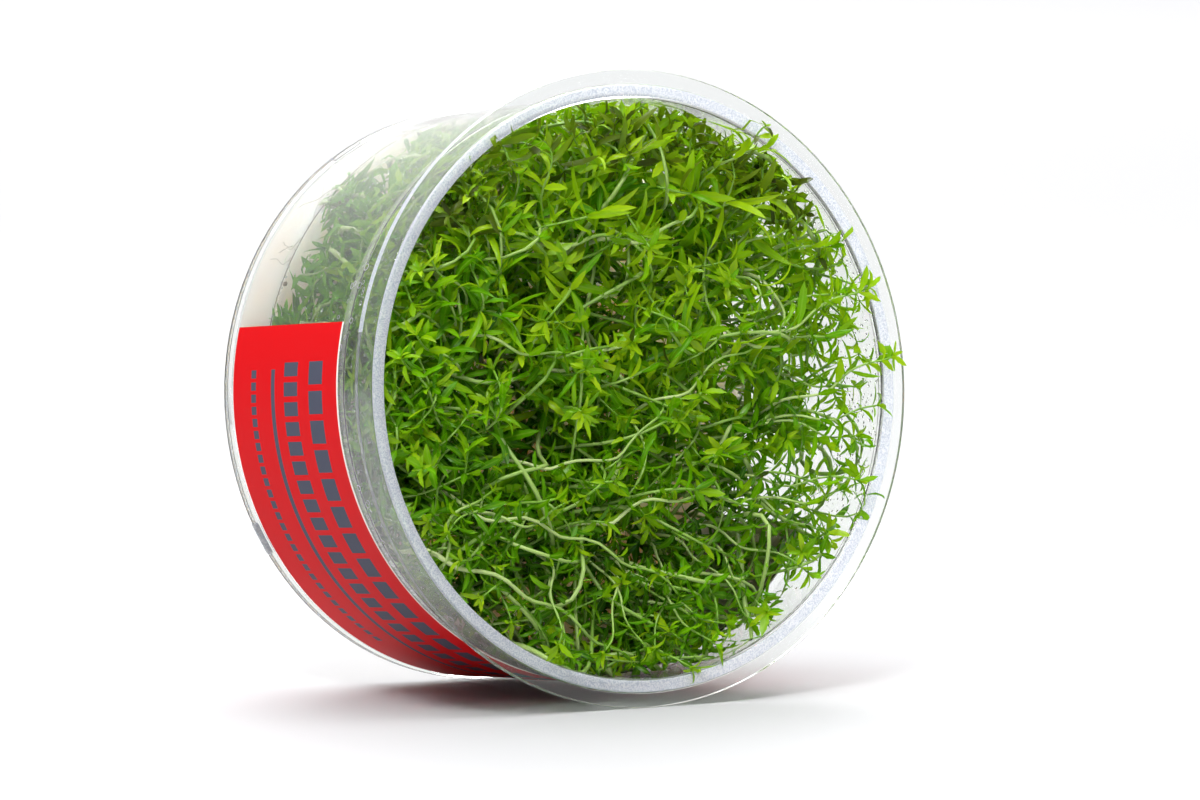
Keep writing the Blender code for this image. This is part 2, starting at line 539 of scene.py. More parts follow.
@dataclass(frozen=True)
class LeafTissue:
    """Soft submerged-grown leaf: thin, moist, a little glossy, and bright where light comes through it.

    Young leaves are yellow-green and old ones deeper. The age that picks the colour also carries painted
    light, so leaves towards the upper side of the lying cup come out lighter. The midrib is paler than the
    blade.
    """

    young: str = "#ABCB16"
    grown: str = "#5FA200"
    old: str = "#1C5400"
    purple: str = "#302012"
    midrib: str = "#8FB83A"
    glow: str = "#9CDB00"
    roughness: float = 0.3
    specular: float = 0.3
    ior: float = 1.42
    rib_width: float = 0.03
    rib_fade: float = 0.14
    rib_share: float = 0.5
    glow_share: float = 0.38
    glow_tint: float = 0.45
    mottle: float = 0.24
    mottle_size: float = 1.3 * MM

    def build(self) -> bpy.types.Material:
        """Builds the material.

        Returns:
            The leaf.
        """
        material, tree, output = new_material("leaf_tissue")
        tint = add_node(tree, "ShaderNodeAttribute", {"attribute_name": "tint"})
        parts = add_node(tree, "ShaderNodeSeparateColor", inputs={"Color": tint.outputs["Color"]})
        place = add_node(tree, "ShaderNodeTexCoord")
        noise = add_node(
            tree,
            "ShaderNodeTexNoise",
            inputs={"Vector": place.outputs["Object"], "Scale": 1.0 / self.mottle_size, "Detail": 2.0},
        )
        spread = add_node(
            tree,
            "ShaderNodeMath",
            {"operation": "MULTIPLY_ADD"},
            {0: noise.outputs["Fac"], 1: self.mottle, 2: -self.mottle / 2},
        )
        # The tint's first number is the leaf's age with its painted light; the mottle is added to it.
        age = add_node(
            tree,
            "ShaderNodeMath",
            {"operation": "ADD", "use_clamp": True},
            {0: parts.outputs["Red"], 1: spread.outputs["Value"]},
        )
        green = add_node(tree, "ShaderNodeValToRGB", inputs={"Fac": age.outputs["Value"]})
        set_ramp(green, ((0.0, self.young), (0.45, self.grown), (1.0, self.old)))
        uv = add_node(tree, "ShaderNodeUVMap", {"uv_map": "UVMap"})
        across = add_node(tree, "ShaderNodeSeparateXYZ", inputs={"Vector": uv.outputs["UV"]})
        off_middle = add_node(
            tree, "ShaderNodeMath", {"operation": "SUBTRACT"}, {0: across.outputs["X"], 1: 0.5}
        )
        distance = add_node(
            tree, "ShaderNodeMath", {"operation": "ABSOLUTE"}, {0: off_middle.outputs["Value"]}
        )
        rib = add_node(
            tree,
            "ShaderNodeMapRange",
            {"interpolation_type": "SMOOTHSTEP"},
            {
                "Value": distance.outputs["Value"],
                "From Min": self.rib_width,
                "From Max": self.rib_fade,
                "To Min": self.rib_share,
                "To Max": 0.0,
            },
        )
        ribbed = add_node(
            tree,
            "ShaderNodeMix",
            {"data_type": "RGBA"},
            {0: rib.outputs["Result"], 6: green.outputs["Color"], 7: linear(self.midrib)},
        )
        stained = add_node(
            tree,
            "ShaderNodeMix",
            {"data_type": "RGBA"},
            {0: parts.outputs["Green"], 6: ribbed.outputs[2], 7: linear(self.purple)},
        )
        blade = add_node(
            tree,
            "ShaderNodeBsdfPrincipled",
            inputs={
                "Base Color": stained.outputs[2],
                "Roughness": self.roughness,
                "Specular IOR Level": self.specular,
                "IOR": self.ior,
            },
        )
        glow_colour = add_node(
            tree,
            "ShaderNodeMix",
            {"data_type": "RGBA"},
            {0: self.glow_tint, 6: stained.outputs[2], 7: linear(self.glow)},
        )
        glow = add_node(tree, "ShaderNodeBsdfTranslucent", inputs={"Color": glow_colour.outputs[2]})
        both = add_node(
            tree,
            "ShaderNodeMixShader",
            inputs={0: self.glow_share, 1: blade.outputs["BSDF"], 2: glow.outputs["BSDF"]},
        )
        tree.links.new(both.outputs["Shader"], output.inputs["Surface"])
        return material


@dataclass(frozen=True)
class StemTissue:
    """Soft stem without much green: pale, moist and a little see-through, greener towards its tip."""

    base: str = "#C2CC98"
    middle: str = "#9CB668"
    tip: str = "#6E9C28"
    roughness: float = 0.35
    ior: float = 1.4
    scatter: float = 0.3
    scatter_depth: float = 0.6 * MM
    scatter_reach: tuple[float, float, float] = (1.0, 1.0, 0.4)

    def build(self) -> bpy.types.Material:
        """Builds the material.

        Returns:
            The stem.
        """
        material, tree, output = new_material("stem_tissue")
        tint = add_node(tree, "ShaderNodeAttribute", {"attribute_name": "tint"})
        parts = add_node(tree, "ShaderNodeSeparateColor", inputs={"Color": tint.outputs["Color"]})
        ramp = add_node(tree, "ShaderNodeValToRGB", inputs={"Fac": parts.outputs["Red"]})
        set_ramp(ramp, ((0.0, self.base), (0.6, self.middle), (1.0, self.tip)))
        shader = add_node(
            tree,
            "ShaderNodeBsdfPrincipled",
            inputs={
                "Base Color": ramp.outputs["Color"],
                "Roughness": self.roughness,
                "IOR": self.ior,
                "Subsurface Weight": self.scatter,
                "Subsurface Radius": self.scatter_reach,
                "Subsurface Scale": self.scatter_depth,
            },
        )
        tree.links.new(shader.outputs["BSDF"], output.inputs["Surface"])
        return material


@dataclass(frozen=True)
class Stripe:
    """One printed stripe of the label, along its length, cut into blocks."""

    low: float
    high: float
    start: float
    end: float
    block: float
    gap: float


@dataclass(frozen=True)
class CoatedPaper:
    """Coated label paper, printed red with slate stripes: smooth, satin, with a bare white cut edge."""

    red: str = "#D2000A"
    slate: str = "#4A4E5E"
    white: str = "#F6EDE8"
    roughness: float = 0.5
    ior: float = 1.4
    specular: float = 0.12
    fibre_size: float = 0.5 * MM
    fibre_height: float = 0.008 * MM
    edge_width: float = 0.28 * MM
    stripes: tuple[Stripe, ...] = (
        Stripe(24.6 * MM, 29.0 * MM, 6.0 * MM, 92.0 * MM, 3.6 * MM, 1.0 * MM),
        Stripe(16.6 * MM, 21.0 * MM, 6.0 * MM, 78.0 * MM, 2.2 * MM, 0.9 * MM),
        Stripe(12.4 * MM, 13.6 * MM, 7.0 * MM, 92.0 * MM, 200.0 * MM, 0.0 * MM),
        Stripe(5.9 * MM, 7.5 * MM, 7.0 * MM, 58.0 * MM, 1.3 * MM, 0.6 * MM),
    )

    def stripe_mask(self, tree: bpy.types.NodeTree, along: Any, up: Any, stripe: Stripe) -> Any:
        """Draws one stripe.

        Args:
            tree: the material's node tree.
            along: the socket with the place along the label, in metres.
            up: the socket with the place across the label, in metres.
            stripe: the stripe's size.

        Returns:
            A socket that is 1 on the stripe and 0 off it.
        """
        half = (stripe.high - stripe.low) / 2
        reach = (stripe.end - stripe.start) / 2
        pitch = stripe.block + stripe.gap
        shifted = add_node(tree, "ShaderNodeMath", {"operation": "SUBTRACT"}, {0: along, 1: stripe.start})
        beat = add_node(
            tree, "ShaderNodeMath", {"operation": "WRAP"}, {0: shifted.outputs["Value"], 1: pitch, 2: 0.0}
        )
        tests = (
            ("COMPARE", {0: up, 1: stripe.low + half, 2: half}),
            ("COMPARE", {0: along, 1: stripe.start + reach, 2: reach}),
            ("LESS_THAN", {0: beat.outputs["Value"], 1: stripe.block}),
        )
        mask = 1.0
        for operation, inputs in tests:
            test = add_node(tree, "ShaderNodeMath", {"operation": operation}, inputs)
            both = {0: test.outputs["Value"], 1: mask}
            mask = add_node(tree, "ShaderNodeMath", {"operation": "MULTIPLY"}, both).outputs["Value"]
        return mask

    def build(self, width: float) -> bpy.types.Material:
        """Builds the material.

        Args:
            width: the label's width, for its white edge on the mouth's side.

        Returns:
            The printed paper.
        """
        material, tree, output = new_material("coated_label_paper")
        uv = add_node(tree, "ShaderNodeUVMap", {"uv_map": "UVMap"})
        spot = add_node(tree, "ShaderNodeSeparateXYZ", inputs={"Vector": uv.outputs["UV"]})
        along, up = spot.outputs["X"], spot.outputs["Y"]
        colour = linear(self.red)
        for stripe in self.stripes:
            printed = add_node(
                tree,
                "ShaderNodeMix",
                {"data_type": "RGBA"},
                {0: self.stripe_mask(tree, along, up, stripe), 6: colour, 7: linear(self.slate)},
            )
            colour = printed.outputs[2]
        edge = add_node(
            tree, "ShaderNodeMath", {"operation": "GREATER_THAN"}, {0: up, 1: width - self.edge_width}
        )
        edged = add_node(
            tree,
            "ShaderNodeMix",
            {"data_type": "RGBA"},
            {0: edge.outputs["Value"], 6: colour, 7: linear(self.white)},
        )
        _, bump = relief(tree, self.fibre_size, 2.0, self.fibre_height)
        shader = add_node(
            tree,
            "ShaderNodeBsdfPrincipled",
            inputs={
                "Base Color": edged.outputs[2],
                "Roughness": self.roughness,
                "IOR": self.ior,
                "Specular IOR Level": self.specular,
                "Normal": bump.outputs["Normal"],
            },
        )
        tree.links.new(shader.outputs["BSDF"], output.inputs["Surface"])
        return material


@dataclass
class CultureCup(CupPart):
    """The moulded cup: flange, frosted land, wall, base, foot ring and stacking lugs."""

    steps: int = 144
    rounding: float = 0.15 * MM
    blend: float = 0.9 * MM
    frosted_from: float = 0.3
    margin: float = 0.1 * MM
    # Angles round the cup where the flange's outer edge takes the frosted finish: a painted highlight.
    painted_highlight_edge: tuple[float, float] = (96.0, 168.0)
    lug_count: int = 4
    lug_first_angle: float = 208.0
    lug_length: float = 5.6 * MM
    lug_radial: float = 1.2 * MM
    lug_height: float = 1.2 * MM
    lug_rounding: float = 0.3 * MM
    lug_out: float = 0.1 * MM
    lug_up: float = 0.05 * MM

    def outline(self) -> list[tuple[float, float]]:
        """The cup's section, from the middle of the underside up the outer skin and back down inside.

        Returns:
            Points of (radius, height).
        """
        s = self.shape
        low_inside = s.panel_radius_low * s.flat - s.wall
        neck_foot = (s.neck_radius - s.neck_taper) * s.flat
        return [
            (0.0, s.floor_underside),
            (s.foot_inner_radius - s.foot_slope, s.floor_underside),
            (s.foot_inner_radius, 0.0),
            (s.foot_outer_radius, 0.0),
            (s.bead_radius * s.flat, s.bead_low),
            (s.bead_radius * s.flat, s.bead_high),
            (s.panel_radius_low * s.flat, s.panel_low),
            (s.panel_radius_high * s.flat, s.panel_high - self.blend),
            (neck_foot, s.neck_low + self.blend),
            (s.neck_radius * s.flat, s.flange_face - s.flange_thickness),
            (s.rim_radius * s.flat, s.flange_face - s.flange_thickness),
            (s.rim_radius * s.flat, s.flange_face),
            (s.land_outer_radius + s.land_slope, s.flange_face),
            (s.land_outer_radius, s.flange_face + s.land_rise),
            (s.land_inner_radius, s.flange_face + s.land_rise),
            (s.neck_radius * s.flat - s.wall, s.flange_face),
            (neck_foot - s.wall, s.neck_low + self.blend),
            (s.panel_radius_high * s.flat - s.wall, s.panel_high - self.blend),
            (low_inside, s.floor_top + s.floor_round),
            (low_inside - s.floor_round, s.floor_top),
            (0.0, s.floor_top),
        ]

    def lug(self, angle: float) -> bmesh.types.BMesh:
        """One stacking lug.

        Args:
            angle: its place round the base, in degrees.

        Returns:
            The lug as a closed block with round edges.
        """
        bm = bmesh.new()
        bmesh.ops.create_cube(bm, size=1.0)
        bmesh.ops.scale(bm, vec=(self.lug_radial, self.lug_length, self.lug_height), verts=bm.verts)
        bmesh.ops.bevel(
            bm,
            geom=bm.edges[:],
            offset=self.lug_rounding,
            segments=2,
            profile=0.5,
            affect="EDGES",
            clamp_overlap=True,
            material=-1,
        )
        out = self.shape.foot_outer_radius + self.lug_out
        bmesh.ops.translate(bm, vec=(out, 0.0, self.lug_height / 2 + self.lug_up), verts=bm.verts)
        turn = Matrix.Rotation(math.radians(angle), 3, "Z")
        bmesh.ops.rotate(bm, cent=(0.0, 0.0, 0.0), matrix=turn, verts=bm.verts)
        return bm

    def is_on_painted_highlight_edge(self, place: Vector) -> bool:
        """Whether a place is between the lying cup's top and the label's upper end, where the flange's edge
        takes
        the frosted finish and shows white: a painted highlight for light carried through the flange.

        Args:
            place: a point in the cup's axes.

        Returns:
            True between them.
        """
        return self.painted_highlight_edge[0] < math.degrees(math.atan2(place.y, place.x)) < self.painted_highlight_edge[1]

    def build(self) -> bpy.types.Object:
        """Builds the cup as one piece with two finishes.

        Returns:
            The cup, which stands for its CAD node.
        """
        s = self.shape
        bm = turned(self.outline(), self.steps, self.rounding)
        for face in bm.faces:
            middle = face.calc_center_median()
            reach = middle.xy.length
            on_land = s.land_inner_radius - self.margin < reach < s.land_outer_radius + 2 * self.margin
            frosted = on_land and middle.z > s.flange_face + self.frosted_from * s.land_rise
            # The flange's outer edge in that arc takes the frosted finish and shows white: a painted
            # highlight for light carried through the flange.
            painted_highlight_edge = reach > s.rim_radius * s.flat - self.margin and self.is_on_painted_highlight_edge(middle)
            face.material_index = int(painted_highlight_edge or frosted)
        mesh = bpy.data.meshes.new("lug")
        for index in range(self.lug_count):
            lug = self.lug(self.lug_first_angle + index * 360.0 / self.lug_count)
            for face in lug.faces:
                # The first lug takes the frosted finish and shows bluish grey: painted shade for the shadow
                # seen through the clear lug.
                face.material_index = int(index == 0)
            lug.to_mesh(mesh)
            lug.free()
            bm.from_mesh(mesh)
        body = finished_mesh("cup_moulding", bm, self.axes)
        plastics = (ClearPolypropylene().build(), FrostedLand().build())
        piece = show("cup_moulding", body, plastics)
        shade_evenly(piece)
        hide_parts("cup")
        return piece


@dataclass
class WrapLabel(CupPart):
    """The paper label round the lower half of the lying cup."""

    start: float = 164.0
    end: float = 330.0
    low: float = 3.6 * MM
    high: float = 37.5 * MM
    thickness: float = 0.12 * MM
    glue: float = 0.02 * MM
    steps: int = 110

    def build(self) -> bpy.types.Object:
        """Builds the label with its print laid out in metres along and across the paper.

        Returns:
            The label, which stands for its CAD node.
        """
        low_radius = self.shape.panel_radius(self.low) + self.glue
        high_radius = self.shape.panel_radius(self.high) + self.glue
        section = [
            (low_radius, self.low),
            (low_radius + self.thickness, self.low),
            (high_radius + self.thickness, self.high),
            (high_radius, self.high),
        ]
        bm = turned(section, self.steps, 0.0, self.start, self.end - self.start)
        layer = bm.loops.layers.uv.new("UVMap")
        for face in bm.faces:
            middle = face.calc_center_median()
            face.material_index = int(face.normal.xy.dot(middle.xy) < -0.5 * middle.xy.length)
            for loop in face.loops:
                place = loop.vert.co
                angle = math.degrees(math.atan2(place.y, place.x)) % 360.0
                loop[layer].uv = (math.radians(angle - self.start) * low_radius, place.z - self.low)
        mesh = finished_mesh("wrap_label", bm, self.axes)
        papers = (CoatedPaper().build(self.high - self.low), PAPER_BACK.build())
        piece = show("wrap_label", mesh, papers)
        shade_evenly(piece)
        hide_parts("label")
        return piece


@dataclass
class GelDisc(CupPart):
    """The nutrient gel in the base, a little higher where it climbs the wall."""

    meniscus: float = 0.6 * MM
    climb_bend: float = 0.5 * MM
    climb_low: float = 0.2 * MM
    climb_width: float = 1.6 * MM
    corner: float = 1.0 * MM
    clearance: float = 0.1 * MM
    steps: int = 120

    def build(self) -> bpy.types.Object:
        """Builds the gel.

        Returns:
            The gel, which stands for its CAD node.
        """
        s = self.shape
        bottom = s.floor_top + self.clearance
        radius = s.panel_radius_low * s.flat - s.wall - self.clearance
        section = [
            (0.0, bottom),
            (radius - self.corner, bottom),
            (radius, bottom + self.corner),
            (radius, s.gel_top + self.meniscus),
            (radius - self.climb_bend, s.gel_top + self.climb_low),
            (radius - self.climb_width, s.gel_top),
            (0.0, s.gel_top),
        ]
        mesh = finished_mesh("gel_disc", turned(section, self.steps, 0.1 * MM), self.axes)
        piece = show("gel_disc", mesh, (Agar().build(),))
        shade_evenly(piece)
        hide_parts("gel")
        return piece


@dataclass
class Template:
    """A small mesh that is copied many times: its points, and its faces as runs of point numbers."""

    points: np.ndarray
    corners: np.ndarray
    sizes: np.ndarray
    uvs: np.ndarray

    @classmethod
    def from_bmesh(cls, bm: bmesh.types.BMesh) -> "Template":
        """Reads a template from a bmesh, which is freed.

        Args:
            bm: the shape, with or without a UV layer.

        Returns:
            The template.
        """
        bm.verts.index_update()
        layer = bm.loops.layers.uv.active
        points = np.array([vert.co[:] for vert in bm.verts])
        corners = [loop.vert.index for face in bm.faces for loop in face.loops]
        uvs = [loop[layer].uv[:] if layer else (0.0, 0.0) for face in bm.faces for loop in face.loops]
        sizes = [len(face.verts) for face in bm.faces]
        bm.free()
        return cls(points, np.array(corners), np.array(sizes), np.array(uvs))


@dataclass
class Batch:
    """Copies of templates on their way into one joined mesh."""

    points: list[np.ndarray] = field(default_factory=list)
    corners: list[np.ndarray] = field(default_factory=list)
    sizes: list[np.ndarray] = field(default_factory=list)
    uvs: list[np.ndarray] = field(default_factory=list)
    tints: list[np.ndarray] = field(default_factory=list)
    slots: list[np.ndarray] = field(default_factory=list)
    count: int = 0

    def add(self, template: Template, points: np.ndarray, tints: np.ndarray, slot: int) -> None:
        """Adds one copy.

        Args:
            template: what is copied.
            points: where the copy's points are.
            tints: one row of four numbers for each point, or one row for all.
            slot: the copy's material slot.
        """
        self.points.append(points)
        self.corners.append(template.corners + self.count)
        self.sizes.append(template.sizes)
        self.uvs.append(template.uvs)
        self.tints.append(np.broadcast_to(tints, (len(points), 4)))
        self.slots.append(np.full(len(template.sizes), slot))
        self.count += len(points)

    def joined_points(self) -> np.ndarray:
        """All the points so far, one a row."""
        return np.concatenate(self.points)

    def mesh(self, name: str, points: np.ndarray) -> bpy.types.Mesh:
        """Joins the copies.

        Args:
            name: the mesh's name.
            points: the joined points, in place.

        Returns:
            One smooth mesh with a UV map and a tint attribute.
        """
        mesh = bpy.data.meshes.new(name)
        sizes = np.concatenate(self.sizes)
        corners = np.concatenate(self.corners)
        mesh.vertices.add(len(points))
        mesh.vertices.foreach_set("co", points.astype(np.float32).ravel())
        mesh.loops.add(len(corners))
        mesh.loops.foreach_set("vertex_index", corners.astype(np.int32))
        mesh.polygons.add(len(sizes))
        starts = np.concatenate(([0], np.cumsum(sizes)[:-1]))
        mesh.polygons.foreach_set("loop_start", starts.astype(np.int32))
        mesh.polygons.foreach_set("material_index", np.concatenate(self.slots).astype(np.int32))
        mesh.update(calc_edges=True)
        layer = mesh.uv_layers.new(name="UVMap")
        layer.uv.foreach_set("vector", np.concatenate(self.uvs).astype(np.float32).ravel())
        tint = mesh.attributes.new("tint", "FLOAT_COLOR", "POINT")
        tint.data.foreach_set("color", np.concatenate(self.tints).astype(np.float32).ravel())
        mesh.validate()
        mesh.shade_smooth()
        return mesh


@dataclass(frozen=True)
class LeafCut:
    """How one kind of leaf is shaped, for a leaf one unit long."""

    width: float
    widest: float
    fold: float
    curl: float
    tooth: float
    twist: float
    opening: float = 0.5
    roundness: float = 0.75
    stalk: float = 0.16
    toothed: tuple[float, float] = (0.25, 0.9)

    def template(self, rows: int) -> Template:
        """Shapes the leaf from a grid.

        Args:
            rows: faces along the leaf.

        Returns:
            The leaf: its foot at the origin, its blade along +Y, its upper side towards +Z.
        """
        bm = bmesh.new()
        bm.loops.layers.uv.new("UVMap")
        bmesh.ops.create_grid(bm, x_segments=2, y_segments=rows, size=0.5, calc_uvs=True)
        for vert in bm.verts:
            along = vert.co.y + 0.5
            side = round(vert.co.x * 2)
            row = round(along * rows)
            bent = math.radians(self.curl) * along
            spread = self.half_width(along, row)
            lift = math.radians(self.fold) * (1.0 - self.opening * along)
            roll = math.radians(self.twist) * along
            across = Vector((side * spread * math.cos(lift), 0.0, abs(side) * spread * math.sin(lift)))
            across.rotate(Matrix.Rotation(roll, 3, "Y"))
            reach = math.sin(bent) / math.radians(self.curl) if self.curl else along
            drop = (1.0 - math.cos(bent)) / math.radians(self.curl) if self.curl else 0.0
            vert.co = Vector((across.x, reach + across.z * math.sin(bent), across.z * math.cos(bent) - drop))
        bmesh.ops.remove_doubles(bm, verts=bm.verts, dist=0.004)
        return Template.from_bmesh(bm)

    def half_width(self, along: float, row: int) -> float:
        """Half the blade's width at a place along it.

        Args:
            along: 0 at the foot and 1 at the tip.
            row: the number of the row of points there, for the teeth.

        Returns:
            The half width, for a leaf one unit long.
        """
        if along >= 1.0:
            return 0.0
        swell = along / self.widest if along < self.widest else (1.0 - along) / (1.0 - self.widest)
        blade = math.sin(math.pi / 2 * swell) ** self.roundness
        notched = self.toothed[0] < along < self.toothed[1]
        toothed = 1.0 + self.tooth * (1.0 if row % 2 else -1.0) * notched
        return self.width / 2 * max(self.stalk * (1.0 - along), blade * toothed)


class Habit(Enum):
    """How a stem grows."""

    UPRIGHT = "upright"
    RUNNER = "runner"
    SHOOT = "shoot"
    SPRAWLING = "sprawling"
    YOUNG = "young"


@dataclass(frozen=True)
class Growth:
    """The numbers behind a habit. Angles in degrees, lengths in metres."""

    lean: float
    wander: float
    rise: float
    steps: int
    level: float
    bare: float
    internode: float
    leaf_length: float
    stem_radius: float


GROWTH: dict[Habit, Growth] = {
    Habit.UPRIGHT: Growth(30.0, 13.0, 0.07, 25, 0.9, 0.35, 4.4 * MM, 8.4 * MM, 0.33 * MM),
    Habit.SPRAWLING: Growth(48.0, 15.0, 0.06, 38, 0.75, 0.5, 6.5 * MM, 5.6 * MM, 0.45 * MM),
    Habit.RUNNER: Growth(0.0, 0.0, 0.0, 0, 1.0, 0.35, 7.0 * MM, 4.6 * MM, 0.42 * MM),
    Habit.SHOOT: Growth(0.0, 0.0, 0.0, 0, 1.0, 0.15, 3.4 * MM, 7.0 * MM, 0.34 * MM),
    Habit.YOUNG: Growth(36.0, 20.0, 0.07, 18, 0.8, 0.2, 3.2 * MM, 5.6 * MM, 0.26 * MM),
}


def smoothed(path: Sequence[Vector], rounds: int) -> list[Vector]:
    """Evens out a path and keeps its ends.

    Args:
        path: points along it.
        rounds: how many times each point moves towards its neighbours.

    Returns:
        The even path.
    """
    for _ in range(rounds):
        middles = [(a + 2.0 * b + c) / 4.0 for a, b, c in zip(path, path[1:], path[2:])]
        path = [path[0], *middles, path[-1]]
    return list(path)


@dataclass(frozen=True)
class Runner:
    """A stem laid from knot to knot inside the mouth: a long pale one, or a short shoot by the rim.

    The knots are places in the plane of the mouth, in millimetres from the cup's axis.
    """

    knots: tuple[tuple[float, float], ...]
    height: float = 48.0 * MM
    radius: float = 0.42 * MM
    lift: float = 0.0
    habit: Habit = Habit.RUNNER
    sway: float = 0.7 * MM
    sway_length: float = 13.0 * MM
    run_on: float = 4.0 * MM
    foot_drop: float = 9.0 * MM
    end_drop: float = 1.0 * MM
    rounds: int = 5

    def path(self, step: float) -> list[Vector]:
        """Lays the stem from knot to knot, rising out of the plants at its foot.

        Args:
            step: the distance between two points of the path.

        Returns:
            The path.
        """
        last = len(self.knots) - 1
        knots = [
            Vector((x * MM, y * MM, self.height + self.lift * number / last))
            for number, (x, y) in enumerate(self.knots)
        ]
        foot = knots[0] + (knots[0] - knots[1]).normalized() * self.run_on
        foot.z -= self.foot_drop
        end = knots[-1] + (knots[-1] - knots[-2]).normalized() * self.run_on
        end.z -= self.end_drop
        path = []
        for start, stop in zip([foot, *knots], [*knots, end]):
            pieces = max(1, round((stop - start).length / step))
            path.extend(start.lerp(stop, number / pieces) for number in range(pieces))
        path = smoothed([*path, end], self.rounds)
        square = (knots[-1] - knots[0]).cross(Vector((0.0, 0.0, 1.0))).normalized()
        for number, point in enumerate(path):
            beat = 2.0 * math.pi * number * step / self.sway_length + self.knots[0][0]
            point += (square * math.sin(beat) + Vector((0.0, 0.0, math.cos(beat)))) * self.sway
        return path


@dataclass(frozen=True)
class StemRule:
    """How every stem starts, wanders, keeps off the wall and bends over under its tip's height."""

    root_spread: float = 3.5 * MM
    root_depth: float = 1.0 * MM
    lean_share: tuple[float, float] = (0.3, 1.2)
    outer_bed: float = 0.7
    outward_spread: float = 1.1
    steps_share: tuple[float, float] = (0.8, 1.15)
    push_up: float = 0.6
    turn_kept: float = 0.8
    turn_added: float = 0.32
    elbow_room: float = 2.5 * MM
    wall_push: float = 0.35
    droop_from: float = 5.0 * MM
    droop: float = 0.5
    rounds: int = 2


@dataclass(frozen=True)
class LeafRule:
    """How leaves sit on every stem, how large they grow and how they colour.

    Angles are in degrees. A share is of the stem's length from its foot, or of the habit's own number.
    """

    spread: tuple[float, float] = (38.0, 82.0)
    roll: float = 22.0
    rise: float = 0.3
    rise_from: float = 0.3
    long_leaf: float = 5.0 * MM
    label_side: float = 0.6
    label_bare: float = 0.15
    bare_share: tuple[float, float] = (0.7, 1.3)
    whorls: tuple[int, ...] = (2, 2, 3, 3, 4)
    top_whorl: int = 3
    top_from: float = 0.93
    taper: float = 1.6
    taper_from: float = 0.75
    length_share: tuple[float, float] = (0.5, 1.2)
    turn_spread: float = 0.2
    crowding: float = 0.6
    crowd_from: float = 0.6
    internode_share: tuple[float, float] = (0.8, 1.2)
    age: float = 0.76
    age_fall: float = 0.5
    age_spread: float = 0.17
    # Painted light: how much younger, and so lighter, leaves are made towards +X and the lying cup's upper
    # side.
    painted_light_side: float = 0.08
    painted_light_up: float = 0.35
    tuft: int = 5
    tuft_turn: float = 2.4
    tuft_tilt: float = 0.8
    tuft_age: tuple[float, float] = (0.0, 0.4)
    tuft_length: tuple[float, float] = (0.3, 0.55)
    vigour: float = 0.86
    vigour_up: float = 0.35
    vigour_range: tuple[float, float] = (0.55, 1.1)
    stain_from: float = 0.8
    stain_chance: float = 0.015
    dark_chance: float = 0.75
    dark_height: float = 41.0 * MM
    dark_side: float = 22.0 * MM
    dark_radius: float = 35.5 * MM
    stain_depth: tuple[float, float] = (0.6, 1.0)


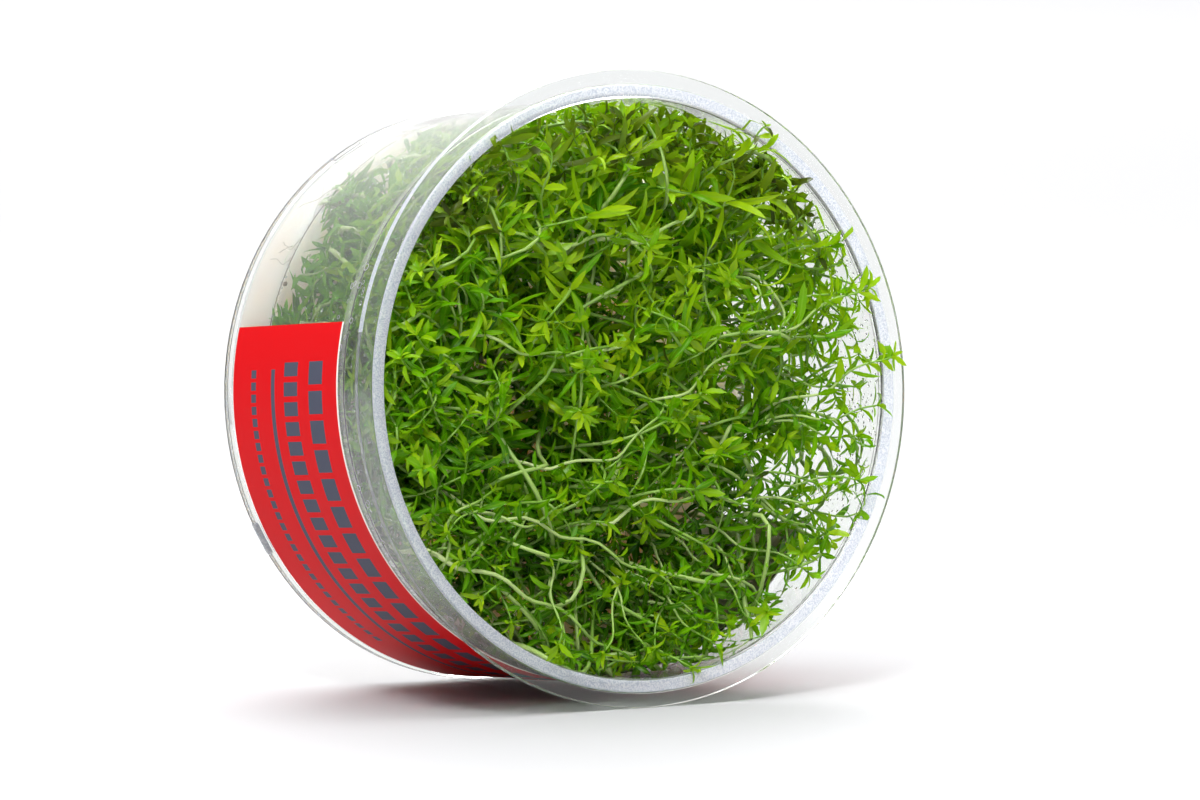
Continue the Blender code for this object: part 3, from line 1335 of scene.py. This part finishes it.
@dataclass
class PlantBed(CupPart):
    """Thirty-six plantlets: where each stands, how its stems grow and how its leaves sit on them."""

    count: int = 36
    spiral_angle: float = 137.508
    jitter: float = 1.2 * MM
    bed_radius: float = 43.9 * MM
    stem_rule: StemRule = StemRule()
    leaf_rule: LeafRule = LeafRule()
    runner_thinning: float = 0.85
    stem_taper: float = 0.5
    stem_thickness: tuple[float, float] = (0.8, 1.3)
    edge_count: int = 46
    edge_scatter: float = 0.4
    edge_swing: float = 0.12
    edge_reach: tuple[float, float] = (36.5, 40.5)
    edge_length: float = 10.0
    edge_foot: tuple[float, float] = (42.0, 46.0)
    edge_lift: tuple[float, float] = (4.0, 7.0)
    edge_radius: float = 0.34 * MM
    wall_gap: float = 0.15 * MM
    rim_gap: float = 3.0 * MM
    rooting: float = 1.2 * MM
    thin_from: float = 0.4
    thin_share: float = 0.6
    seed: int = 7
    tip_low: float = 49.5 * MM
    tip_high: float = 54.5 * MM
    step: float = 2.0 * MM
    tube_rings: int = 24
    tube_sides: int = 6
    tube_guide: tuple[float, float, float] = (0.31, 0.87, 0.38)
    leaf_rows: int = 9
    short_leaf_rows: int = 7
    leaf_slot: int = 0
    stem_slot: int = 1
    stems_by_habit: tuple[tuple[Habit, int], ...] = (
        (Habit.UPRIGHT, 6),
        (Habit.SPRAWLING, 3),
        (Habit.YOUNG, 3),
    )
    cuts: tuple[LeafCut, ...] = (
        LeafCut(0.18, 0.42, 24.0, 35.0, 0.07, 12.0),
        LeafCut(0.155, 0.38, 32.0, 75.0, 0.06, -25.0),
        LeafCut(0.20, 0.45, 14.0, 25.0, 0.09, 8.0),
        LeafCut(0.145, 0.40, 38.0, 110.0, 0.05, 35.0),
        LeafCut(0.19, 0.36, 18.0, -35.0, 0.08, -15.0),
        LeafCut(0.165, 0.48, 28.0, 55.0, 0.08, 40.0),
    )
    short_cuts: tuple[LeafCut, ...] = (
        LeafCut(0.28, 0.45, 20.0, 35.0, 0.11, 10.0),
        LeafCut(0.25, 0.50, 28.0, 65.0, 0.10, -20.0),
        LeafCut(0.31, 0.42, 12.0, 20.0, 0.12, 5.0),
        LeafCut(0.22, 0.45, 34.0, 90.0, 0.08, 25.0),
    )
    runners: tuple[Runner, ...] = (
        Runner(((-31.3, -18.2), (-19.6, -19.6), (-7.2, -24.1), (3.5, -29.3), (6.2, -31.0)), 49.0 * MM),
        Runner(((-25.3, 9.0), (-19.3, 6.7), (-12.4, 5.7)), 49.0 * MM, 0.4 * MM),
        Runner(((-10.4, 23.1), (-7.8, 24.1), (-4.7, 23.8)), 49.0 * MM, 0.6 * MM),
        Runner(((2.6, 23.2), (8.5, 23.7), (11.7, 25.7), (14.0, 27.9)), 49.0 * MM, 0.5 * MM),
        Runner(((-8.0, 4.2), (-3.7, 5.3), (-0.2, 6.9), (3.8, 9.4), (6.7, 11.8)), 48.5 * MM, 0.4 * MM),
        Runner(((7.0, -2.4), (12.5, 0.1), (16.2, 3.2), (21.5, 5.1)), 49.0 * MM, 0.36 * MM),
        Runner(((-16.4, -11.1), (-8.8, -11.8), (-0.3, -9.9), (3.9, -6.6), (6.2, -3.6)), 48.5 * MM, 0.38 * MM),
        Runner(((28.2, 15.4), (30.8, 12.6), (29.3, 8.8), (26.1, 4.9)), 48.5 * MM, 0.38 * MM),
        Runner(((-33.1, -21.7), (-32.7, -18.1), (-30.6, -15.9), (-28.1, -15.6)), 49.0 * MM, 0.42 * MM),
        Runner(
            ((-36.8, -24.1), (-30.8, -26.3), (-21.1, -30.4), (-14.4, -34.3), (-5.3, -40.3)),
            49.5 * MM,
            0.52 * MM,
        ),
        Runner(((-27.1, -17.5), (-23.1, -20.8), (-18.8, -20.5), (-14.7, -19.0)), 49.0 * MM, 0.4 * MM),
        Runner(((-3.3, -20.4), (3.3, -17.6), (11.6, -17.2), (18.9, -18.3)), 48.5 * MM, 0.42 * MM),
        Runner(((31.0, -3.5), (37.0, -1.0), (43.0, 2.0)), 48.0 * MM, 0.34 * MM, 5.0 * MM, Habit.SHOOT),
        Runner(((24.0, 6.0), (32.0, 9.5), (39.0, 13.0)), 48.0 * MM, 0.4 * MM, 5.0 * MM, Habit.SHOOT),
        Runner(((18.0, 33.0), (21.0, 36.0), (23.0, 38.0)), 48.0 * MM, 0.36 * MM, 5.0 * MM, Habit.SHOOT),
    )

    def __post_init__(self) -> None:
        """Makes the shapes that every plantlet copies."""
        self.leaves = [cut.template(self.leaf_rows) for cut in self.cuts]
        self.short_leaves = [cut.template(self.short_leaf_rows) for cut in self.short_cuts]
        self.tube = self.tube_template()

    def tube_template(self) -> Template:
        """A straight tube of unit rings, one unit apart, which each stem bends along its path.

        Returns:
            The tube.
        """
        bm = bmesh.new()
        bmesh.ops.create_circle(bm, cap_ends=True, radius=1.0, segments=self.tube_sides)
        rim = bm.edges[:]
        for ring in range(1, self.tube_rings):
            grown = bmesh.ops.extrude_edge_only(bm, edges=rim)["geom"]
            rim = [item for item in grown if isinstance(item, bmesh.types.BMEdge)]
            rim = [edge for edge in rim if all(vert in grown for vert in edge.verts)]
            for vert in {vert for edge in rim for vert in edge.verts}:
                vert.co.z = float(ring)
        bmesh.ops.contextual_create(bm, geom=rim)
        bmesh.ops.recalc_face_normals(bm, faces=bm.faces)
        return Template.from_bmesh(bm)

    def spots(self, rng: random.Random) -> list[Vector]:
        """Where the plantlets stand: the same spiral as their solids.

        Args:
            rng: the source of the small moves.

        Returns:
            One point in the gel's plane for each plantlet.
        """
        found = []
        for index in range(self.count):
            radius = self.bed_radius * math.sqrt((index + 0.5) / self.count)
            angle = math.radians(index * self.spiral_angle)
            nudge = Vector((rng.uniform(-self.jitter, self.jitter), rng.uniform(-self.jitter, self.jitter)))
            found.append(Vector((radius * math.cos(angle), radius * math.sin(angle))) + nudge)
        return found

    def edge_shoots(self) -> tuple[Runner, ...]:
        """Short shoots that lean against the inside of the rim, all round.

        Returns:
            The shoots.
        """
        rng = random.Random(self.seed + 1)
        found = []
        for number in range(self.edge_count):
            shift = rng.uniform(-self.edge_scatter, self.edge_scatter)
            angle = 2.0 * math.pi * (number + shift) / self.edge_count
            swing = rng.gauss(0.0, self.edge_swing)
            reach = rng.uniform(*self.edge_reach)
            backs = ((self.edge_length, swing), (self.edge_length / 2, 0.6 * swing), (0.0, 0.0))
            knots = tuple(
                ((reach - back) * math.cos(angle + turn), (reach - back) * math.sin(angle + turn))
                for back, turn in backs
            )
            low = rng.uniform(*self.edge_foot) * MM
            lift = rng.uniform(*self.edge_lift) * MM
            found.append(Runner(knots, low, self.edge_radius, lift, Habit.SHOOT))
        return tuple(found)

    def nearest(self, runner: Runner) -> int:
        """The plantlet that a runner grows from.

        Args:
            runner: the long stem.

        Returns:
            The number of the plantlet that stands nearest to its first knot.
        """
        first = Vector(runner.knots[0]) * MM
        gaps = [(spot - first).length for spot in self.spots(random.Random(self.seed))]
        return gaps.index(min(gaps))

    def grow(self, rng: random.Random, spot: Vector, growth: Growth, tip: float) -> list[Vector]:
        """Grows one stem from the gel towards the mouth.

        Args:
            rng: the stem's source of chance.
            spot: where its plantlet stands.
            growth: how it grows.
            tip: the height it may reach.

        Returns:
            The stem's path, a step apart.
        """
        rule = self.stem_rule
        around = rng.uniform(0.0, 2.0 * math.pi)
        reach = rule.root_spread * math.sqrt(rng.random())
        x, y = spot.x + reach * math.cos(around), spot.y + reach * math.sin(around)
        point = Vector((x, y, self.shape.gel_top - rule.root_depth))
        lean = math.radians(growth.lean) * rng.uniform(*rule.lean_share)
        side = rng.uniform(0.0, 2.0 * math.pi)
        if spot.length > rule.outer_bed * self.bed_radius:
            side = math.atan2(spot.y, spot.x) + rng.gauss(0.0, rule.outward_spread)
        heading = Vector((math.sin(lean) * math.cos(side), math.sin(lean) * math.sin(side), math.cos(lean)))
        turning = Vector((0.0, 0.0, 0.0))
        tip = self.shape.gel_top + (tip - self.shape.gel_top) * rng.uniform(growth.level, 1.0)
        path = [point.copy()]
        for _ in range(round(growth.steps * rng.uniform(*rule.steps_share))):
            push = Vector((rng.gauss(0.0, 1.0), rng.gauss(0.0, 1.0), rng.gauss(0.0, rule.push_up)))
            turning = turning * rule.turn_kept + push * math.radians(growth.wander) * rule.turn_added
            heading = heading + turning + Vector((0.0, 0.0, growth.rise))
            flat = Vector((point.x, point.y, 0.0))
            room = float(self.shape.inner_radii(np.array(point.z))) - flat.length
            if room < rule.elbow_room:
                heading -= flat.normalized() * (1.0 - room / rule.elbow_room) * rule.wall_push
            over = point.z - (tip - rule.droop_from)
            if over > 0.0:
                heading.z -= rule.droop * over / rule.droop_from
            heading.normalize()
            point = point + heading * self.step
            point.z = min(point.z, tip)
            path.append(point.copy())
        return smoothed(path, rule.rounds)

    def bent_tube(self, path: Sequence[Vector], foot: float, tip: float) -> np.ndarray:
        """Bends the tube along a path.

        Args:
            path: the stem's path.
            foot: the stem's radius at its foot.
            tip: its radius at its tip.

        Returns:
            The tube's points.
        """
        line = np.array([point[:] for point in path])
        places = np.linspace(0.0, len(line) - 1.0, self.tube_rings)
        whole = np.arange(len(line))
        rings = np.stack([np.interp(places, whole, line[:, axis]) for axis in range(3)], axis=1)
        ahead = np.gradient(rings, axis=0)
        ahead /= np.linalg.norm(ahead, axis=1, keepdims=True)
        first = np.cross(ahead, np.array(self.tube_guide))
        first /= np.linalg.norm(first, axis=1, keepdims=True)
        second = np.cross(ahead, first)
        ring = np.rint(self.tube.points[:, 2]).astype(int)
        radius = np.linspace(foot, tip, self.tube_rings)[ring][:, None]
        x, y = self.tube.points[:, 0:1], self.tube.points[:, 1:2]
        return rings[ring] + radius * (x * first[ring] + y * second[ring])

    def add_stem(self, batch: Batch, path: Sequence[Vector], radius: float) -> None:
        """Adds one stem's tube to a plantlet.

        Args:
            batch: the plantlet.
            path: the stem's path.
            radius: its radius at the foot.
        """
        share = self.tube.points[:, 2:3] / (self.tube_rings - 1)
        tints = np.concatenate((share, np.zeros_like(share), share, np.ones_like(share)), axis=1)
        batch.add(self.tube, self.bent_tube(path, radius, radius * self.stem_taper), tints, self.stem_slot)

    def add_leaf(
        self,
        batch: Batch,
        rng: random.Random,
        foot: Vector,
        stem: Vector,
        out: Vector,
        length: float,
        tint: tuple[float, float, float, float],
    ) -> None:
        """Adds one leaf.

        Args:
            batch: the plantlet.
            rng: the leaf's source of chance.
            foot: where it leaves the stem.
            stem: the stem's direction there.
            out: the leaf's direction away from the stem, square to it.
            length: its length.
            tint: its age, which also carries painted light, its purple, and two spare numbers.
        """
        rule = self.leaf_rule
        spread = math.radians(rng.uniform(*rule.spread))
        rise = rule.rise * max(0.0, foot.y / self.bed_radius + rule.rise_from)
        ahead = (stem * math.cos(spread) + out * math.sin(spread) + Vector((0.0, rise, 0.0))).normalized()
        across = ahead.cross(stem)
        if across.length < 0.01:
            across = ahead.orthogonal()
        across.normalize()
        across.rotate(Matrix.Rotation(math.radians(rng.gauss(0.0, rule.roll)), 3, ahead))
        top = across.cross(ahead)
        turn = np.array((across[:], ahead[:], top[:])) * length
        template = rng.choice(self.leaves if length > rule.long_leaf else self.short_leaves)
        batch.add(template, template.points @ turn + np.array(foot[:]), np.array(tint), self.leaf_slot)

    def add_leaves(self, batch: Batch, rng: random.Random, path: Sequence[Vector], growth: Growth) -> None:
        """Adds the whorls of one stem and the tuft at its tip.

        Args:
            batch: the plantlet.
            rng: the stem's source of chance.
            path: the stem's path.
            growth: how it grows.
        """
        rule = self.leaf_rule
        last = len(path) - 1
        by_label = path[0].x < -rule.label_side * self.bed_radius
        place = growth.bare * (rule.label_bare if by_label else 1.0) * last * rng.uniform(*rule.bare_share)
        phase = rng.uniform(0.0, 2.0 * math.pi)
        while place < last:
            share = place / last
            index = min(int(place), last - 1)
            stem = (path[index + 1] - path[index]).normalized()
            foot = path[index].lerp(path[index + 1], place - index)
            count = rng.choice(rule.whorls) if share < rule.top_from else rule.top_whorl
            length = growth.leaf_length * (1.0 - rule.taper * max(0.0, share - rule.taper_from))
            length *= self.vigour(foot)
            first = stem.orthogonal().normalized()
            phase += math.pi / count
            for number in range(count):
                angle = phase + number * 2.0 * math.pi / count + rng.gauss(0.0, rule.turn_spread)
                out = first.copy()
                out.rotate(Matrix.Rotation(angle, 3, stem))
                # Painted light: leaves towards +X and the upper side (+Y) of the lying cup get a lower age,
                # so a lighter green, for the light from above.
                light = (rule.painted_light_side * foot.x + rule.painted_light_up * foot.y) / self.bed_radius
                age = rule.age - rule.age_fall * share - light + rng.gauss(0.0, rule.age_spread)
                tint = (min(1.0, max(0.0, age)), self.stain(rng, foot, share), rng.random(), 1.0)
                own_length = length * rng.uniform(*rule.length_share)
                self.add_leaf(batch, rng, foot, stem, out, own_length, tint)
            near_tip = 1.0 - rule.crowding * max(0.0, share - rule.crowd_from) / (1.0 - rule.crowd_from)
            place += growth.internode * near_tip * rng.uniform(*rule.internode_share) / self.step
        stem = (path[-1] - path[-2]).normalized()
        for number in range(rule.tuft):
            out = stem.orthogonal().normalized()
            out.rotate(Matrix.Rotation(number * rule.tuft_turn, 3, stem))
            tilted = (out + stem * rule.tuft_tilt).normalized()
            tint = (rng.uniform(*rule.tuft_age), self.stain(rng, path[-1], 1.0), rng.random(), 1.0)
            length = growth.leaf_length * rng.uniform(*rule.tuft_length)
            self.add_leaf(batch, rng, path[-1], stem, tilted, length, tint)

    def vigour(self, place: Vector) -> float:
        """How large the leaves grow: larger at the upper side of the lying cup than at the lower.

        Args:
            place: where the leaf leaves its stem.

        Returns:
            A share of the habit's leaf length.
        """
        rule = self.leaf_rule
        least, most = rule.vigour_range
        return min(most, max(least, rule.vigour + rule.vigour_up * place.y / self.bed_radius))

    def stain(self, rng: random.Random, place: Vector, share: float) -> float:
        """How purple-brown a leaf is: tips by the upper edge of the lying cup dry and darken.

        Args:
            rng: the leaf's source of chance.
            place: where it leaves its stem.
            share: how far up the stem that is.

        Returns:
            0 for a green leaf, up to 1.
        """
        rule = self.leaf_rule
        high_up = place.z > rule.dark_height and place.y > rule.dark_side
        near_edge = high_up and place.xy.length > rule.dark_radius
        chance = rule.dark_chance if near_edge else rule.stain_chance
        if share < rule.stain_from or rng.random() > chance:
            return 0.0
        return rng.uniform(*rule.stain_depth)

    def kept_inside(self, points: np.ndarray) -> np.ndarray:
        """Presses what would pass through the wall or into the gel against them.

        Args:
            points: the plantlet's points in the cup's axes.

        Returns:
            The points, moved.
        """
        reach = np.hypot(points[:, 0], points[:, 1])
        limit = self.shape.inner_radii(points[:, 2]) - self.wall_gap
        above = points[:, 2] > self.shape.flange_face + self.shape.land_rise + self.wall_gap
        limit = np.where(above, self.shape.rim_radius - self.rim_gap, limit)
        share = np.minimum(1.0, limit / np.maximum(reach, 1e-9))
        kept = points.copy()
        kept[:, :2] *= share[:, None]
        kept[:, 2] = np.maximum(kept[:, 2], self.shape.gel_top - self.rooting)
        return kept

    def build_plantlet(
        self, index: int, spot: Vector, tip: float, materials: Sequence[bpy.types.Material]
    ) -> int:
        """Builds one plantlet.

        Args:
            index: its number, from 0.
            spot: where it stands.
            tip: the height that its leaf tips may reach.
            materials: the leaf's and the stem's.

        Returns:
            How many triangles it has.
        """
        rng = random.Random(self.seed * 1000 + index)
        batch = Batch()
        for runner in self.runners + self.edge_shoots():
            if self.nearest(runner) != index:
                continue
            path = runner.path(self.step)
            self.add_stem(batch, path, runner.radius * self.runner_thinning)
            self.add_leaves(batch, rng, path, GROWTH[runner.habit])
        for habit, count in self.stems_by_habit:
            growth = GROWTH[habit]
            stems = count + (habit is Habit.SPRAWLING and spot.y < 0.0)
            if spot.x > self.thin_from * self.bed_radius:
                stems = round(stems * self.thin_share)
            for _ in range(stems):
                path = self.grow(rng, spot, growth, tip)
                self.add_stem(batch, path, growth.stem_radius * rng.uniform(*self.stem_thickness))
                self.add_leaves(batch, rng, path, growth)
        points = self.axes.place(self.kept_inside(batch.joined_points()))
        name = f"foliage_{index + 1:02d}"
        mesh = batch.mesh(name, points)
        piece = show(name, mesh, materials)
        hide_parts(f"plantlet_{index + 1:02d}")
        return int(sum(size.sum() - 2 * len(size) for size in batch.sizes))

    def build(self) -> int:
        """Builds every plantlet.

        Returns:
            How many triangles they have in all.
        """
        rng = random.Random(self.seed)
        materials = (LeafTissue().build(), StemTissue().build())
        total = 0
        for index, spot in enumerate(self.spots(rng)):
            tip = rng.uniform(self.tip_low, self.tip_high)
            total += self.build_plantlet(index, spot, tip, materials)
        return total


@dataclass(frozen=True)
class Patch:
    """A part of the wall with its own beads. Angles in degrees round the cup, lengths in metres."""

    count: int
    start: float
    end: float
    low: float
    high: float
    smallest: float
    largest: float
    crowd: float = 4.0
    hooped: bool = False


@dataclass
class Condensation(CupPart):
    """Beads of condensed water on the inside of the wall, some with the foamy hoop of a bubble."""

    seed: int = 21
    hoop_share: float = 0.17
    hoop_steps: int = 14
    flat_at: float = 0.3
    stand_off: float = 0.01 * MM
    patches: tuple[Patch, ...] = (
        Patch(800, 0.0, 360.0, 14.0 * MM, 50.5 * MM, 0.08 * MM, 0.4 * MM),
        Patch(420, 0.0, 360.0, 12.3 * MM, 13.6 * MM, 0.08 * MM, 0.3 * MM, 3.0),
        Patch(700, -28.0, 52.0, 40.0 * MM, 51.2 * MM, 0.08 * MM, 0.28 * MM, 2.0),
        Patch(260, 140.0, 250.0, 36.5 * MM, 50.5 * MM, 0.15 * MM, 0.5 * MM, 2.0),
        Patch(18, 152.0, 170.0, 34.0 * MM, 42.0 * MM, 0.3 * MM, 0.55 * MM, 1.0, True),
        Patch(12, 195.0, 235.0, 38.0 * MM, 43.0 * MM, 0.3 * MM, 0.55 * MM, 1.0, True),
    )

    def bead(self) -> Template:
        """One bead: a flattened half ball, closed on its flat side.

        Returns:
            The bead, standing on its flat side with its top towards +Z, one unit in radius.
        """
        bm = bmesh.new()
        bmesh.ops.create_icosphere(bm, subdivisions=2, radius=1.0)
        cut = bmesh.ops.bisect_plane(
            bm,
            geom=bm.verts[:] + bm.edges[:] + bm.faces[:],
            dist=0.0001,
            plane_co=(0.0, 0.0, self.flat_at),
            plane_no=(0.0, 0.0, 1.0),
            clear_inner=True,
        )
        rim = [item for item in cut["geom_cut"] if isinstance(item, bmesh.types.BMEdge)]
        bmesh.ops.holes_fill(bm, edges=rim, sides=0)
        bmesh.ops.translate(bm, vec=(0.0, 0.0, -self.flat_at), verts=bm.verts)
        return Template.from_bmesh(bm)

    def hoop(self) -> Template:
        """The foamy edge of a bubble: a round hoop.

        Returns:
            The hoop, flat on the wall, one unit in radius.
        """
        thick = self.hoop_share
        turns = [math.radians(60.0 * corner) for corner in range(7)]
        section = [(1.0 + thick * math.cos(turn), thick * math.sin(turn)) for turn in turns]
        return Template.from_bmesh(turned(section, self.hoop_steps))

    def build(self) -> bpy.types.Object:
        """Scatters the beads, most of them small, and puts a hoop round each bubble.

        Returns:
            All of them as one piece.
        """
        rng = random.Random(self.seed)
        bead, hoop = self.bead(), self.hoop()
        batch = Batch()
        white = np.array((1.0, 1.0, 1.0, 1.0))
        up = Vector((0.0, 0.0, 1.0))
        for patch in self.patches:
            for _ in range(patch.count):
                angle = math.radians(rng.uniform(patch.start, patch.end))
                height = rng.uniform(patch.low, patch.high)
                size = patch.smallest + (patch.largest - patch.smallest) * rng.random() ** patch.crowd
                wall = float(self.shape.inner_radii(np.array(height))) - self.stand_off
                inward = Vector((-math.cos(angle), -math.sin(angle), 0.0))
                turn = np.array((up.cross(inward)[:], up[:], inward[:])) * size
                foot = np.array((wall * math.cos(angle), wall * math.sin(angle), height))
                batch.add(bead, bead.points @ turn + foot, white, 0)
                if patch.hooped:
                    batch.add(hoop, hoop.points @ turn + foot, white, 1)
        mesh = batch.mesh("condensation", self.axes.place(batch.joined_points()))
        return show("condensation", mesh, (CONDENSED_WATER.build(), FOAM_EDGE.build()))


@dataclass
class GelDetails(CupPart):
    """Hair roots in the gel along the wall, crumbs of old leaf on it and its dry tide line."""

    seed: int = 5
    root_count: int = 60
    crumb_count: int = 26
    root_radius: float = 0.035 * MM
    root_top: float = 0.3 * MM
    root_lowest: float = 3.0 * MM
    root_fall: tuple[float, float] = (0.1, 0.8)
    drift: float = 0.02
    drift_kept: float = 0.85
    drift_added: float = 0.003
    wall_gap: float = 0.09 * MM
    crumb_sizes: tuple[float, float] = (0.15, 0.4)
    crumb_shape: tuple[float, float, float] = (0.5, 0.8, 1.3)
    crumb_in: float = 0.5 * MM
    crumb_up: float = 0.9 * MM
    large_crumb: float = 0.55 * MM
    large_crumb_angle: float = 154.6
    line_width: float = 0.16 * MM
    line_up: float = 0.75 * MM
    line_inner: float = 0.02 * MM
    line_outer: float = 0.05 * MM
    line_steps: int = 144
    points: int = 14

    def root(self, rng: random.Random) -> list[tuple[float, float]]:
        """Wanders down the side of the gel.

        Args:
            rng: the root's source of chance.

        Returns:
            Angles and heights along the root.
        """
        angle = rng.uniform(0.0, 2.0 * math.pi)
        height = self.shape.gel_top + self.root_top
        drift = rng.uniform(-self.drift, self.drift)
        places = []
        for _ in range(self.points):
            places.append((angle, height))
            drift = self.drift_kept * drift + rng.gauss(0.0, self.drift_added)
            angle += drift
            height = max(self.root_lowest, height - rng.uniform(*self.root_fall) * MM)
        return places

    def tide_line(self, radius: float) -> list[tuple[float, float]]:
        """The section of the thin dry line where the gel ends on the wall.

        Args:
            radius: the radius of the gel's side.

        Returns:
            A closed outline of (radius, height).
        """
        middle = self.shape.gel_top + self.line_up
        low, high = middle - self.line_width / 2, middle + self.line_width / 2
        inner, outer = radius - self.line_inner, radius + self.line_outer
        return [(inner, low), (outer, low), (outer, high), (inner, high), (inner, low)]

    def build(self) -> bpy.types.Object:
        """Builds the roots, the crumbs and the tide line.

        Returns:
            All of them as one piece.
        """
        rng = random.Random(self.seed)
        radius = self.shape.panel_radius_low * self.shape.flat - self.shape.wall - self.wall_gap
        curves = bpy.data.curves.new("roots", "CURVE")
        curves.dimensions = "3D"
        curves.bevel_depth = self.root_radius
        curves.bevel_resolution = 1
        curves.use_fill_caps = True
        for _ in range(self.root_count):
            spline = curves.splines.new("POLY")
            spline.points.add(self.points - 1)
            for point, (angle, height) in zip(spline.points, self.root(rng)):
                point.co = (radius * math.cos(angle), radius * math.sin(angle), height, 1.0)
        maker = bpy.data.objects.new("roots", curves)
        bm = bmesh.new()
        bm.from_mesh(maker.to_mesh())
        bpy.data.objects.remove(maker)
        for number in range(self.crumb_count):
            angle, size = math.radians(self.large_crumb_angle), self.large_crumb
            if number > 0:
                angle, size = rng.uniform(0.0, 2.0 * math.pi), rng.uniform(*self.crumb_sizes) * MM
            made = bmesh.ops.create_icosphere(bm, subdivisions=1, radius=size)["verts"]
            bmesh.ops.scale(bm, vec=self.crumb_shape, verts=made)
            spot = Vector((radius - self.crumb_in, 0.0, self.shape.gel_top + self.crumb_up))
            bmesh.ops.translate(bm, vec=spot, verts=made)
            turn = Matrix.Rotation(angle, 3, "Z")
            bmesh.ops.rotate(bm, cent=(0.0, 0.0, 0.0), matrix=turn, verts=made)
        ring = bpy.data.meshes.new("ring")
        line = turned(self.tide_line(radius), self.line_steps)
        line.to_mesh(ring)
        line.free()
        bm.from_mesh(ring)
        mesh = finished_mesh("roots_and_crumbs", bm, self.axes)
        return show("roots_and_crumbs", mesh, (ROOT_TISSUE.build(),))


@dataclass(frozen=True)
class PhotoCamera:
    """The camera: its bearing from the cup's mouth and the size of the photograph's frame."""

    azimuth: float = -31.32
    elevation: float = 4.75
    distance: float = 1.7197
    frame_width: int = 1200
    focal_pixels: float = 11009.6
    rim_right_of_centre: float = 35.6
    rim_above_centre: float = 11.5
    sensor: float = 36.0
    nearest: float = 0.05

    def build(self, rim_centre: Vector) -> bpy.types.Object:
        """Makes the scene's camera.

        Args:
            rim_centre: the middle of the cup's flange, in the row's frame.

        Returns:
            The camera.
        """
        turn, rise = math.radians(self.azimuth), math.radians(self.elevation)
        back = Vector((math.sin(turn) * math.cos(rise), -math.cos(turn) * math.cos(rise), math.sin(rise)))
        right = (-back).cross(Vector((0.0, 0.0, 1.0))).normalized()
        up = right.cross(-back)
        per_pixel = self.distance / self.focal_pixels
        place = rim_centre + back * self.distance
        aim = rim_centre - (right * self.rim_right_of_centre + up * self.rim_above_centre) * per_pixel
        lens = bpy.data.cameras.new("camera")
        lens.sensor_width = self.sensor
        lens.lens = self.sensor * self.focal_pixels / self.frame_width
        lens.clip_start = self.nearest
        camera = bpy.data.objects.new("camera", lens)
        camera.location = place
        camera.rotation_euler = (aim - place).to_track_quat("-Z", "Y").to_euler()
        bpy.context.scene.collection.objects.link(camera)
        bpy.context.scene.camera = camera
        return camera


@dataclass(frozen=True)
class Softbox:
    """One soft studio light: where it stands, its size and its power."""

    name: str
    place: tuple[float, float, float]
    size: float
    power: float
    aim: tuple[float, float, float] = (0.0, 0.0, 0.05)

    def build(self) -> bpy.types.Object:
        """Makes the light.

        Returns:
            The light.
        """
        light = bpy.data.lights.new(self.name, "AREA")
        light.shape = "SQUARE"
        light.size = self.size
        light.energy = self.power
        lamp = bpy.data.objects.new(self.name, light)
        lamp.location = self.place
        lamp.rotation_euler = (Vector(self.aim) - Vector(self.place)).to_track_quat("-Z", "Y").to_euler()
        bpy.context.scene.collection.objects.link(lamp)
        return lamp


@dataclass
class Studio:
    """The pale table and the light of a white studio."""

    table_size: float = 6.0
    bright_side: tuple[float, float, float] = (0.52, 0.85, 0.05)
    bright_strength: float = 1.05
    bright_from: float = 0.5
    bright_full: float = 0.9
    dim_strength: float = 0.2
    lights: tuple[Softbox, ...] = (
        Softbox("top", (0.0, 0.0, 1.05), 1.5, 26.0),
        Softbox("fill", (-0.7, -0.8, 1.0), 0.32, 14.0),
        Softbox("backdrop", (1.0, 1.9, 1.6), 1.6, 60.0, (1.1, 2.0, 0.0)),
    )

    def room(self) -> bpy.types.World:
        """The studio's walls: white behind the cup as the camera sees it, dim everywhere else.

        Returns:
            The world.
        """
        world = bpy.data.worlds.new("studio")
        world.use_nodes = True
        tree = world.node_tree
        ways = add_node(tree, "ShaderNodeTexCoord")
        share = add_node(
            tree,
            "ShaderNodeVectorMath",
            {"operation": "DOT_PRODUCT"},
            {0: ways.outputs["Generated"], 1: self.bright_side},
        )
        strength = add_node(
            tree,
            "ShaderNodeMapRange",
            {"interpolation_type": "SMOOTHSTEP"},
            {
                "Value": share.outputs["Value"],
                "From Min": self.bright_from,
                "From Max": self.bright_full,
                "To Min": self.dim_strength,
                "To Max": self.bright_strength,
            },
        )
        backdrop = tree.nodes["Background"]
        backdrop.inputs["Color"].default_value = linear("#FFFFFF")
        tree.links.new(strength.outputs["Result"], backdrop.inputs["Strength"])
        return world

    def build(self) -> None:
        """Builds the table, the walls and the lights."""
        bm = bmesh.new()
        bmesh.ops.create_grid(bm, x_segments=1, y_segments=1, size=self.table_size / 2)
        mesh = bpy.data.meshes.new("table")
        bm.to_mesh(mesh)
        bm.free()
        mesh.materials.append(WHITE_TABLE.build())
        table = bpy.data.objects.new("table", mesh)
        bpy.context.scene.collection.objects.link(table)
        scene = bpy.context.scene
        scene.world = self.room()
        scene.view_settings.view_transform = "Standard"
        scene.cycles.blur_glossy = 0.0
        for light in self.lights:
            light.build()


def main() -> None:
    """Builds the camera, the cup, its label, the gel, the plants and the studio."""
    logging.basicConfig(level=logging.INFO, format="%(message)s")
    shape = CupShape()
    foot = next(mount for mount in frame["record"]["mounts"] if mount["name"] == "foot")
    axes = CupAxes.from_foot(foot, shape.foot_middle)
    rim_centre = axes.matrix @ Vector((0.0, 0.0, shape.flange_face))
    PhotoCamera().build(rim_centre)
    Studio().build()
    for part in (CultureCup, WrapLabel, GelDisc, GelDetails, Condensation):
        piece = part(shape, axes).build()
        LOG.info("built %s", piece.name)
    total = PlantBed(shape, axes).build()
    LOG.info("built the plantlets with %d triangles", total)


if __name__ == "__main__":
    main()
